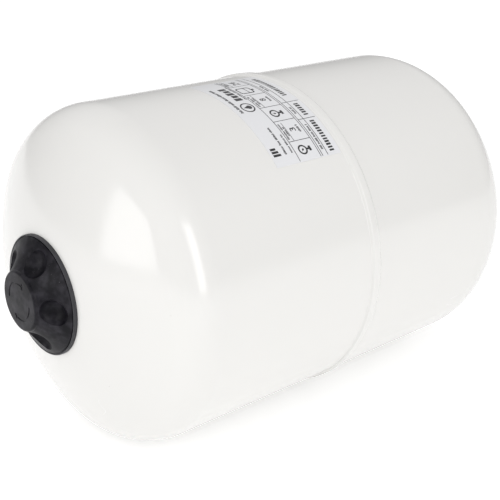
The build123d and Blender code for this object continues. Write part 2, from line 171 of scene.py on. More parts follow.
class Sheet:
    """The node sheet of one material."""

    def __init__(self, name: str) -> None:
        """Makes a material with an empty sheet.

        Args:
            name: The material's name.
        """
        self.material = bpy.data.materials.new(name)
        self.material.use_nodes = True
        self.tree = self.material.node_tree
        self.tree.nodes.clear()

    def node(
        self, kind: str, settings: dict | None = None, inputs: dict | None = None, output: int | str = 0
    ) -> Wire:
        """Adds a node.

        Args:
            kind: The node's type, without the ShaderNode prefix.
            settings: Values of the node's own settings; "stops" holds a ramp's (place, colour) pairs.
            inputs: Values or wires of its sockets, by name or number.
            output: Which of its outputs to give back.

        Returns:
            The wire that leaves the node.
        """
        made = self.tree.nodes.new("ShaderNode" + kind)
        for name, setting in (settings or {}).items():
            if name == "stops":
                self._set_stops(made.color_ramp, setting)
            else:
                setattr(made, name, setting)
        for key, value in (inputs or {}).items():
            if isinstance(value, Wire):
                self.tree.links.new(value.socket, made.inputs[key])
            else:
                made.inputs[key].default_value = value
        return Wire(self, made.outputs[output]) if made.outputs else Wire(self, None)

    @staticmethod
    def _set_stops(ramp: bpy.types.ColorRamp, stops: Sequence[tuple[float, Colour]]) -> None:
        """Gives a ramp its stops, given as (place, colour) pairs."""
        while len(ramp.elements) < len(stops):
            ramp.elements.new(1.0)
        for element, (place, colour) in zip(ramp.elements, stops):
            element.position = place
            element.color = colour

    def place(self) -> Wire:
        """The point on the object, in metres."""
        return self.node("TexCoord", output="Object")

    def stretched(self, scale: tuple[float, float, float]) -> Wire:
        """The point on the object with each axis multiplied."""
        return self.node("Mapping", inputs={"Vector": self.place(), "Scale": scale})

    def noise(self, scale: float, detail: float = 2.0, vector: Wire | None = None) -> Wire:
        """Cloudy noise from about 0 to 1.

        Args:
            scale: Clouds per metre.
            detail: How many finer layers it has.
            vector: Where it is read, or None for the point on the object.

        Returns:
            The noise's value.
        """
        inputs = {"Vector": vector or self.place(), "Scale": scale, "Detail": detail, "Roughness": 0.55}
        return self.node("TexNoise", inputs=inputs)

    def specks(self, per_metre: float, radius: float) -> Wire:
        """Small round specks, at most one in each cell of a random pattern.

        Args:
            per_metre: Cells in a metre.
            radius: Radius of a speck, in metres.

        Returns:
            1 in a speck and 0 outside.
        """
        inputs = {"Vector": self.place(), "Scale": per_metre}
        return self.node("TexVoronoi", inputs=inputs, output="Distance") < radius * per_metre

    def mix(self, share: Wire | float, first: Wire | Colour, second: Wire | Colour) -> Wire:
        """Blends two colours."""
        return self.node("Mix", {"data_type": "RGBA"}, {0: share, 6: first, 7: second}, output=2)

    def steps(self, value: Wire, low: float, high: float) -> Wire:
        """A smooth step of a value from 0 at low to 1 at high."""
        inputs = {"Value": value, "From Min": low, "From Max": high}
        return self.node("MapRange", {"interpolation_type": "SMOOTHSTEP"}, inputs)

    def bump(self, height: Wire, depth: float) -> Wire:
        """A normal from a height that runs from 0 to 1, whose full step is a depth in metres."""
        inputs = {"Height": height, "Distance": depth, "Strength": 1.0}
        return self.node("Bump", inputs=inputs, output="Normal")

    def shade(self, inputs: dict) -> bpy.types.Material:
        """Ends the sheet with a Principled shader.

        Args:
            inputs: Values or wires of the shader's sockets.

        Returns:
            The finished material.
        """
        surface = self.node("BsdfPrincipled", inputs=inputs, output="BSDF")
        self.node("OutputMaterial", inputs={"Surface": surface})
        return self.material


# ---------------------------------------------------------------- finishes


@dataclass(frozen=True)
class PowderCoat:
    """Baked powder paint: glossy, with orange peel, a few specks and hairline scratches."""

    name: str
    colour: Colour
    roughness: float = 0.16
    peel_depth: float = 0.000012
    toe: tuple[float, float] | None = None

    def material(self) -> bpy.types.Material:
        """Builds the paint, with a painted shade line at x = toe[0] of half width toe[1] if it has one."""
        sheet = Sheet(self.name)
        tint = sheet.mix(sheet.noise(7.0, 3.0), self.colour, dimmed(self.colour, 0.975))
        dust = sheet.specks(34.0, 0.00038) * (sheet.noise(11.0) > 0.52)
        tint = sheet.mix(dust * 0.5, tint, (0.42, 0.38, 0.34, 1.0))
        hair = abs(sheet.noise(9.0, 1.0, sheet.stretched((1.0, 2.6, 2.6))) - 0.5) < 0.0011
        scratch = hair * (sheet.noise(16.0, 1.0, sheet.stretched((2.0, 1.0, 1.0))) > 0.66)
        tint = sheet.mix(scratch * 0.35, tint, (0.5, 0.5, 0.52, 1.0))
        # Painted shade: a darker line along the weld's toe, where the bead meets the water shell.
        if self.toe:
            x = sheet.node("SeparateXYZ", inputs={0: sheet.place()}, output="X")
            gap = abs(x - self.toe[0]) + sheet.noise(180.0) * (self.toe[1] * 0.6)
            tint = sheet.mix((1.0 - sheet.steps(gap, 0.0, self.toe[1])) * 0.3, tint, (0.33, 0.32, 0.33, 1.0))
        height = sheet.noise(210.0, 2.0) + sheet.noise(620.0, 1.0) * 0.25
        return sheet.shade(
            {
                "Base Color": tint,
                "Roughness": sheet.noise(23.0, 3.0) * 0.08 + (self.roughness - 0.04) + scratch * 0.2,
                "Normal": sheet.bump(height, self.peel_depth),
                "IOR": 1.5,
            }
        )


@dataclass(frozen=True)
class Moulded:
    """Moulded plastic: satin where its mould was textured, or polished."""

    name: str
    colour: Colour
    scuff_and_sheen: Colour
    roughness: float
    grain: float = 1500.0
    grain_depth: float = 0.00001
    mottle: float = 0.35
    specular: float = 0.5
    ior: float = 1.42

    def material(self) -> bpy.types.Material:
        """Builds the plastic, lighter in random clouds that are partly scuffing and partly painted sheen."""
        sheet = Sheet(self.name)
        # Partly painted sheen: the lighter colour in these clouds stands for wear and for the satin's patchy
        # sheen.
        cloud = sheet.steps(sheet.noise(95.0, 5.0), 0.38, 0.72)
        tint = sheet.mix(cloud * self.mottle, self.colour, self.scuff_and_sheen)
        dust = sheet.specks(420.0, 0.00016) * (sheet.noise(60.0) > 0.53)
        tint = sheet.mix(dust * 0.35, tint, (0.42, 0.4, 0.42, 1.0))
        return sheet.shade(
            {
                "Base Color": tint,
                "Roughness": sheet.noise(160.0, 4.0) * 0.16 + (self.roughness - 0.08),
                "Normal": sheet.bump(sheet.noise(self.grain, 2.0), self.grain_depth),
                "IOR": self.ior,
                "Specular IOR Level": self.specular,
            }
        )


@dataclass(frozen=True)
class Rubber:
    """Moulded rubber, with bloom and a fine grain."""

    name: str
    colour: Colour
    bloom: Colour
    roughness: float = 0.55

    def material(self) -> bpy.types.Material:
        """Builds the rubber, greyer where it blooms."""
        sheet = Sheet(self.name)
        tint = sheet.mix(sheet.steps(sheet.noise(40.0, 4.0), 0.35, 0.8), self.colour, self.bloom)
        grain = sheet.noise(900.0, 2.0)
        return sheet.shade(
            {
                "Base Color": tint,
                "Roughness": sheet.noise(70.0, 3.0) * 0.2 + (self.roughness - 0.1),
                "Normal": sheet.bump(grain, 0.00002),
                "IOR": 1.52,
            }
        )


@dataclass(frozen=True)
class Metal:
    """Bare or plated metal with marks that run round the axis, or clouds of plating."""

    name: str
    colour: Colour
    shade: Colour
    roughness: float
    turned: float = 0.0

    def material(self) -> bpy.types.Material:
        """Builds the metal: turned is the depth of the tool marks, in metres."""
        sheet = Sheet(self.name)
        clouds = sheet.noise(120.0, 5.0)
        tint = sheet.mix(sheet.steps(clouds, 0.3, 0.75), self.colour, self.shade)
        marks = sheet.noise(1.0, 2.0, sheet.stretched((5200.0, 140.0, 140.0)))
        inputs = {
            "Base Color": tint,
            "Metallic": 1.0,
            "Roughness": clouds * 0.22 + marks * 0.08 + (self.roughness - 0.15),
        }
        height = marks if self.turned else sheet.noise(700.0, 3.0)
        inputs["Normal"] = sheet.bump(height, self.turned or 0.000008)
        return sheet.shade(inputs)


@dataclass(frozen=True)
class Film:
    """Printed film: satin, faintly wavy where it is stuck down."""

    name: str
    colour: Colour
    roughness: float = 0.3

    def material(self) -> bpy.types.Material:
        """Builds the film, with a slight change of tint."""
        sheet = Sheet(self.name)
        tint = sheet.mix(sheet.noise(30.0, 3.0), self.colour, dimmed(self.colour, 0.97))
        return sheet.shade(
            {
                "Base Color": tint,
                "Roughness": sheet.noise(50.0, 2.0) * 0.1 + (self.roughness - 0.05),
                "Normal": sheet.bump(sheet.noise(55.0, 2.0), 0.00006),
                "IOR": 1.46,
            }
        )


@dataclass(frozen=True)
class Ground:
    """The studio's matte floor."""

    name: str
    colour: Colour
    glow: float

    def material(self) -> bpy.types.Material:
        """Builds the floor, with a glow that keeps its shadows faint."""
        sheet = Sheet(self.name)
        inputs = {"Base Color": self.colour, "Roughness": 0.9, "Emission Strength": self.glow}
        inputs["Emission Color"] = self.colour
        inputs["Specular IOR Level"] = 0.1
        return sheet.shade(inputs)


class Finishes:
    """Every finish on the vessel, each made once."""

    def __init__(self) -> None:
        """Makes the materials."""
        white = (0.715, 0.71, 0.69, 1.0)
        self.paint = PowderCoat("powder_coat", white).material()
        # The weld's paint carries a painted shade line along the seam bead's toe.
        seam_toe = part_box("seam_weld")[1].x
        self.weld = PowderCoat("powder_coat_on_weld", white, 0.2, 0.00004, (seam_toe, 0.0009)).material()
        # The cap's lighter cloud colour is partly wear and partly painted sheen on its skirt.
        self.cap = Moulded(
            "cap_satin_black", (0.0028, 0.0026, 0.0045, 1.0), (0.034, 0.032, 0.039, 1.0), 0.38,
            mottle=0.7, specular=0.15,
        ).material()
        self.hollow = Moulded(
            "cap_polished_black", (0.002, 0.002, 0.003, 1.0), (0.008, 0.0078, 0.01, 1.0), 0.26,
            grain=900.0, grain_depth=0.000003, ior=1.9,
        ).material()
        self.dust = Moulded(
            "dust_cap_black", (0.02, 0.02, 0.022, 1.0), (0.06, 0.06, 0.06, 1.0), 0.35
        ).material()
        self.seal = Rubber(
            "seal_rubber", (0.014, 0.0135, 0.017, 1.0), (0.04, 0.038, 0.046, 1.0), 0.5
        ).material()
        self.butyl = Rubber(
            "butyl_rubber", (0.02, 0.02, 0.022, 1.0), (0.06, 0.06, 0.065, 1.0), 0.65
        ).material()
        self.zinc = Metal("zinc_plate", (0.62, 0.65, 0.68, 1.0), (0.48, 0.5, 0.53, 1.0), 0.38).material()
        self.bolt = Metal(
            "yellow_zinc_plate", (0.68, 0.6, 0.4, 1.0), (0.56, 0.52, 0.42, 1.0), 0.34
        ).material()
        self.brass = Metal(
            "turned_brass", (0.78, 0.58, 0.26, 1.0), (0.66, 0.47, 0.2, 1.0), 0.28, 0.00002
        ).material()
        self.wire = Metal("spring_wire", (0.62, 0.62, 0.62, 1.0), (0.5, 0.5, 0.5, 1.0), 0.25).material()
        self.ptfe = Film("ptfe", (0.85, 0.85, 0.82, 1.0), 0.4).material()
        self.film = Film("label_film", (0.70, 0.705, 0.72, 1.0)).material()
        self.ink = Film("label_ink", (0.012, 0.012, 0.014, 1.0), 0.35).material()
        self.mark = Film("arrow_floor", (0.012, 0.012, 0.015, 1.0), 0.5).material()


# ---------------------------------------------------------------- outlines


class Outline:
    """A line in the plane of the axis, drawn as (x, radius) points."""

    def __init__(self, x: float, radius: float) -> None:
        """Starts the line at a point."""
        self.points: list[Point] = [(x, radius)]

    def to(self, x: float, radius: float) -> "Outline":
        """Draws a straight run to a point."""
        self.points.append((x, radius))
        return self

    def arc(self, centre: Point, end: Point, steps: int) -> "Outline":
        """Draws an arc to a point, the short way round a centre."""
        start = self.points[-1]
        size = math.dist(centre, start)
        first = math.atan2(start[1] - centre[1], start[0] - centre[0])
        last = math.atan2(end[1] - centre[1], end[0] - centre[0])
        turn = (last - first + math.pi) % (2 * math.pi) - math.pi
        for i in range(1, steps):
            angle = first + turn * i / steps
            self.points.append((centre[0] + size * math.cos(angle), centre[1] + size * math.sin(angle)))
        return self.to(*end)

    def ease(self, x: float, radius: float, steps: int) -> "Outline":
        """Draws an S-shaped run to a point, level with the axis at both ends."""
        start = self.points[-1]
        for i in range(1, steps + 1):
            t = i / steps
            along = start[0] + (x - start[0]) * bezier_run(t)
            self.points.append((along, start[1] + (radius - start[1]) * smooth(t)))
        return self

    def follow(self, other: "Outline") -> "Outline":
        """Goes on along another line, backwards."""
        self.points += other.points[::-1]
        return self


def bezier_run(t: float) -> float:
    """How far along an S-shaped run has come at t, where its handles are half its length."""
    return 1.5 * t * (1 - t) ** 2 + 1.5 * t**2 * (1 - t) + t**3


def smooth(t: float) -> float:
    """How far across an S-shaped run has come at t."""
    return t * t * (3 - 2 * t)


def rounded(corners: Sequence[tuple[float, float, float]], steps: int = 4) -> list[Point]:
    """A closed polygon with round corners.

    Args:
        corners: Each corner as (x, radius, rounding), where a rounding of 0 is sharp.
        steps: Runs in each rounding.

    Returns:
        The polygon's points, its first one again at the end.
    """
    points: list[Point] = []
    count = len(corners)
    for i, (x, r, size) in enumerate(corners):
        here = Vector((x, r))
        if not size:
            points.append((x, r))
            continue
        before = (Vector(corners[i - 1][:2]) - here).normalized()
        after = (Vector(corners[(i + 1) % count][:2]) - here).normalized()
        half = before.angle(after) / 2
        centre = here + (before + after).normalized() * (size / math.sin(half))
        start = here + before * (size / math.tan(half))
        end = here + after * (size / math.tan(half))
        points += Outline(*start).arc(tuple(centre), tuple(end), steps).points
    return points + points[:1]


@dataclass
class Head:
    """The shape of a dished head, from its apex to its cylinder."""

    apex: float
    outward: int
    radius: float
    crown: float = 224.0 * MM
    knuckle: float = 43.0 * MM

    def height(self, radius: float) -> float:
        """The x of the crown at a radius from the axis."""
        return self.apex - self.outward * (self.crown - math.sqrt(self.crown**2 - radius**2))

    def inner(self, sheet: float) -> "Head":
        """The same head one sheet further in."""
        apex = self.apex - self.outward * sheet
        return Head(apex, self.outward, self.radius - sheet, self.crown - sheet, self.knuckle - sheet)

    def outline(self, hole: float) -> Outline:
        """The head from its hole to the start of its cylinder."""
        reach = math.sqrt((self.crown - self.knuckle) ** 2 - (self.radius - self.knuckle) ** 2)
        middle = self.apex - self.outward * self.crown
        knuckle_x = middle + self.outward * reach
        join = (self.radius - self.knuckle) * self.crown / (self.crown - self.knuckle)
        line = Outline(self.height(hole), hole).arc((middle, 0.0), (self.height(join), join), 36)
        return line.arc((knuckle_x, self.radius - self.knuckle), (knuckle_x, self.radius), 24)


# ---------------------------------------------------------------- modelling


def deselect() -> None:
    """Leaves edit mode and selects nothing."""
    if bpy.context.object and bpy.context.object.mode != "OBJECT":
        bpy.ops.object.mode_set(mode="OBJECT")
    bpy.ops.object.select_all(action="DESELECT")


def activate(piece: Piece, *others: Piece) -> None:
    """Selects pieces, with the first one active."""
    deselect()
    for one in (piece, *others):
        one.select_set(True)
    bpy.context.view_layer.objects.active = piece


def edit(piece: Piece) -> None:
    """Opens a piece in edit mode with all of it selected."""
    activate(piece)
    bpy.ops.object.mode_set(mode="EDIT")
    bpy.ops.mesh.select_all(action="SELECT")


def settle(piece: Piece) -> Piece:
    """Leaves edit mode and puts the piece's place into its mesh."""
    activate(piece)
    bpy.ops.object.transform_apply(location=True, rotation=True, scale=True)
    return piece


def mend(piece: Piece) -> Piece:
    """Merges doubled points and turns all faces outwards."""
    edit(piece)
    bpy.ops.mesh.remove_doubles(threshold=MERGE_GAP)
    bpy.ops.mesh.normals_make_consistent(inside=False)
    return settle(piece)


def drawn(name: str, points: Sequence[Vector]) -> Piece:
    """A line through points, started from a small plane that is merged to one point.

    Args:
        name: The piece's name.
        points: The line's points.

    Returns:
        The line as a mesh, open in edit mode with all of it selected.
    """
    deselect()
    bpy.ops.mesh.primitive_plane_add(size=MM, location=points[0])
    piece = bpy.context.object
    piece.name = name
    edit(piece)
    bpy.ops.mesh.merge(type="CENTER")
    for here, there in pairwise(points):
        bpy.ops.mesh.extrude_vertices_move(TRANSFORM_OT_translate={"value": there - here})
    bpy.ops.mesh.select_all(action="SELECT")
    return piece


def turned(name: str, points: Sequence[Point], steps: int = 192) -> Piece:
    """A solid of full turn about the vessel's axis.

    Args:
        name: The piece's name.
        points: A closed outline, or one that starts and ends on the axis, as (x, radius).
        steps: Steps in the turn.

    Returns:
        The piece, smooth and settled.
    """
    piece = drawn(name, [Vector((x, 0.0, r)) for x, r in points])
    bpy.ops.mesh.spin(steps=steps, angle=2 * math.pi, center=(0, 0, 0), axis=X_AXIS)
    return mend(piece)


def screw(name: str, points: Sequence[Point], pitch: float, turns: float, steps: int) -> Piece:
    """A closed outline swept along a screw line about the vessel's axis, with open ends."""
    piece = settle(drawn(name, [Vector((x, 0.0, r)) for x, r in points]))
    edit(piece)
    bpy.ops.mesh.remove_doubles(threshold=MERGE_GAP)
    activate(piece)
    thread = piece.modifiers.new("thread", "SCREW")
    whole = math.ceil(turns)
    thread.axis = "X"
    thread.angle = 2 * math.pi * turns / whole
    thread.screw_offset = pitch * turns / whole
    thread.iterations = whole
    thread.steps = thread.render_steps = steps
    bpy.ops.object.modifier_apply(modifier=thread.name)
    return piece


def reopened(piece: Piece, largest: float) -> Piece:
    """A piece that is being edited, without the faces that filling its cuts has laid across its bore.

    Args:
        piece: The piece, in edit mode.
        largest: Area in square metres that only such a face exceeds.

    Returns:
        The piece, still in edit mode.
    """
    bpy.ops.mesh.select_mode(type="FACE")
    bpy.ops.mesh.select_all(action="DESELECT")
    bpy.ops.object.mode_set(mode="OBJECT")
    for face in piece.data.polygons:
        face.select = face.area > largest
    bpy.ops.object.mode_set(mode="EDIT")
    bpy.ops.mesh.delete(type="FACE")
    bpy.ops.mesh.select_mode(type="VERT")
    return piece


def thread_ridge(name: str, start: float, end: float, root: float, crest: float, pitch: float) -> Piece:
    """The ridge of a screw thread, cut square at both ends.

    Args:
        name: The piece's name.
        start: Where the thread starts along the axis.
        end: Where it ends.
        root: Radius at the foot of the ridge.
        crest: Radius at its top; smaller than the root for an inside thread.
        pitch: From one turn to the next.

    Returns:
        The ridge as a closed piece.
    """
    sink = (root - crest) * 0.15
    low = start - pitch
    corners = [(0.0, root + sink), (0.4, crest), (0.52, crest), (0.92, root + sink)]
    points = [(low + share * pitch, radius) for share, radius in corners + corners[:1]]
    turns = math.ceil((end - start) / pitch) + 1
    piece = screw(name, points, pitch, turns, 72)
    edit(piece)
    bpy.ops.mesh.normals_make_consistent(inside=False)
    bpy.ops.mesh.bisect(plane_co=(start, 0, 0), plane_no=X_AXIS, use_fill=True, clear_inner=True)
    bpy.ops.mesh.select_all(action="SELECT")
    bpy.ops.mesh.bisect(plane_co=(end, 0, 0), plane_no=X_AXIS, use_fill=True, clear_outer=True)
    return mend(reopened(piece, math.pi * min(root, crest) ** 2 / 2))


def ball(centre: Vector, radius: float) -> Piece:
    """A finely divided ball, as a cutting tool."""
    deselect()
    bpy.ops.mesh.primitive_uv_sphere_add(segments=96, ring_count=48, radius=radius, location=centre)
    return settle(bpy.context.object)


def bar(
    sides: int, radius: float, start: float, end: float, centre: Point = (0.0, 0.0), turn: float = 0.0
) -> Piece:
    """A bar along X between two places.

    Args:
        sides: Number of its sides.
        radius: Radius to its corners.
        start: Where it starts along X.
        end: Where it ends.
        centre: Its (y, z).
        turn: Turn about its own line, in radians.

    Returns:
        The bar.
    """
    deselect()
    place = ((start + end) / 2, *centre)
    bpy.ops.mesh.primitive_cylinder_add(
        vertices=sides, radius=radius, depth=end - start, location=place, rotation=(turn, math.pi / 2, 0)
    )
    return settle(bpy.context.object)


def joined(piece: Piece, *others: Piece) -> Piece:
    """Pieces made into one mesh, in the first one."""
    activate(piece, *others)
    bpy.ops.object.join()
    return piece


def carved(piece: Piece, *tools: Piece, operation: str = "DIFFERENCE") -> Piece:
    """A piece cut, or added to, by tools that are used up.

    Args:
        piece: The piece.
        tools: The tools, which don't touch each other.
        operation: DIFFERENCE, UNION or INTERSECT.

    Returns:
        The piece.
    """
    tool = joined(*tools) if len(tools) > 1 else tools[0]
    activate(piece)
    cut = piece.modifiers.new("cut", "BOOLEAN")
    cut.operation = operation
    cut.solver = "EXACT"
    cut.object = tool
    bpy.ops.object.modifier_apply(modifier=cut.name)
    bpy.data.objects.remove(tool)
    return piece


def softened(piece: Piece, width: float, angle: float = 40.0, segments: int = 2) -> Piece:
    """A piece with its sharp edges bevelled."""
    activate(piece)
    bevel = piece.modifiers.new("edges", "BEVEL")
    bevel.width = width
    bevel.segments = segments
    bevel.limit_method = "ANGLE"
    bevel.angle_limit = math.radians(angle)
    bpy.ops.object.modifier_apply(modifier=bevel.name)
    return piece


def roughened(piece: Piece, size: float, height: float) -> Piece:
    """A piece pushed in and out by clouds of a size, by half a height each way."""
    activate(piece)
    clouds = bpy.data.textures.new(piece.name + "_clouds", "CLOUDS")
    clouds.noise_scale = size
    push = piece.modifiers.new("ripples", "DISPLACE")
    push.texture = clouds
    push.texture_coords = "LOCAL"
    push.strength = height
    bpy.ops.object.modifier_apply(modifier=push.name)
    return piece


def copied(piece: Piece, name: str, angle: float) -> Piece:
    """A copy with its own mesh, turned about the vessel's axis by an angle."""
    twin = piece.copy()
    twin.data = piece.data.copy()
    twin.name = name
    bpy.context.scene.collection.objects.link(twin)
    twin.data.transform(Matrix.Rotation(angle, 4, "X"))
    return twin


def dress(
    piece: Piece, body: Body, slot: Slot, *looks: bpy.types.Material, stands_for: Sequence[str] = ()
) -> Piece:
    """Smooths a finished piece, gives it its materials and ties it to the frame.

    Args:
        piece: The piece.
        body: The body it moves with.
        slot: The record's slot for its finish; not used.
        looks: Its materials, in the order of its faces' material numbers.
        stands_for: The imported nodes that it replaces.

    Returns:
        The piece.
    """
    activate(piece)
    bpy.ops.object.shade_smooth_by_angle(angle=math.radians(32))
    deselect()
    piece.data.materials.clear()
    for look in looks:
        piece.data.materials.append(look)
    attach(piece, body.value)
    if stands_for:
        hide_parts(*stands_for)
    log.info("%s: %d faces, rides on %s", piece.name, len(piece.data.polygons), body.value)
    return piece


# ---------------------------------------------------------------- shells


@dataclass
class Shells:
    """The two painted half shells and the weld round their lapped seam."""

    sheet: float = 1.5 * MM
    flare: float = 4.0 * MM
    lip_round: float = 0.7 * MM
    bead_crown: float = 0.25 * MM
    ripple_size: float = 3.2 * MM
    ripple_height: float = 0.34 * MM
    steps: int = 320
    air: Head = field(init=False)
    water: Head = field(init=False)

    def __post_init__(self) -> None:
        """Reads where the shells are."""
        air_lo, air_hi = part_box("air_shell")
        water_lo, water_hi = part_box("water_shell")
        self.lip = air_hi.x
        self.edge = water_lo.x
        self.radius = water_hi.z
        self.lip_radius = air_hi.z
        self.air = self._head(air_lo.x, -1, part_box("valve_boss")[1].z)
        self.water = self._head(water_hi.x, 1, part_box("neck_weld")[1].z - NECK_WELD_LEG)

    def _head(self, hole_x: float, outward: int, hole: float) -> Head:
        """The head whose hole's edge is at an x, with its apex worked out."""
        head = Head(0.0, outward, self.radius)
        head.apex = hole_x - head.height(hole)
        return head

    def surface(self, x: float) -> float:
        """Radius of the air shell's outside at an x on its cylinder, flare or lip."""
        start = self.edge - self.flare
        if x <= start:
            return self.radius
        if x >= self.edge:
            return self.lip_radius
        low, high = 0.0, 1.0
        for _ in range(30):
            middle = (low + high) / 2
            low, high = (middle, high) if bezier_run(middle) * self.flare < x - start else (low, middle)
        return self.radius + (self.lip_radius - self.radius) * smooth(low)

    def air_half(self) -> Piece:
        """The cap-side half, with its flared and rounded lip."""
        start = self.edge - self.flare
        outside = self.air.outline(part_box("valve_boss")[1].z)
        outside.to(start, self.radius).ease(self.edge, self.lip_radius, 18)
        corner = (self.lip - self.lip_round, self.lip_radius - self.lip_round)
        outside.to(corner[0], self.lip_radius).arc(corner, (self.lip, corner[1]), 8)
        inside = self.air.inner(self.sheet).outline(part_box("valve_boss")[1].z)
        inside.to(start, self.radius - self.sheet).ease(self.edge, self.lip_radius - self.sheet, 18)
        inside.to(self.lip, self.lip_radius - self.sheet)
        points = outside.follow(inside).points
        return turned("painted_air_shell", points + points[:1], self.steps)

    def water_half(self) -> Piece:
        """The connection-side half, whose edge stands inside the lip."""
        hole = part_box("neck_weld")[1].z - NECK_WELD_LEG
        outside = self.water.outline(hole).to(self.edge, self.radius)
        inside = self.water.inner(self.sheet).outline(hole).to(self.edge, self.radius - self.sheet)
        points = outside.follow(inside).points
        return turned("painted_water_shell", points + points[:1], self.steps)

    def seam_bead(self) -> Piece:
        """The sloping bead from the lip down to the water shell, with its ripples."""
        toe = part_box("seam_weld")[1].x
        top = self.lip_radius - self.lip_round * 0.7
        count = 9
        line = Outline(self.lip, self.radius - self.sheet / 3).to(self.lip, top)
        for i in range(1, count + 1):
            t = i / count
            swell = 4 * t * (1 - t) * self.bead_crown
            line.to(self.lip + (toe - self.lip) * t, top + (self.radius - top) * t + swell)
        line.to(toe, self.radius - self.sheet / 3).to(*line.points[0])
        bead = turned("painted_seam_bead", line.points, 720)
        return roughened(bead, self.ripple_size, self.ripple_height)

    def build(self, finishes: Finishes) -> None:
        """Makes and dresses the three pieces."""
        for piece, slot, look, node in (
            (self.air_half(), Slot.PAINT, finishes.paint, "air_shell"),
            (self.water_half(), Slot.PAINT, finishes.paint, "water_shell"),
            (self.seam_bead(), Slot.WELD, finishes.weld, "seam_weld"),
        ):
            dress(piece, Body.VESSEL, slot, look, stands_for=[node])


# ---------------------------------------------------------------- rating label


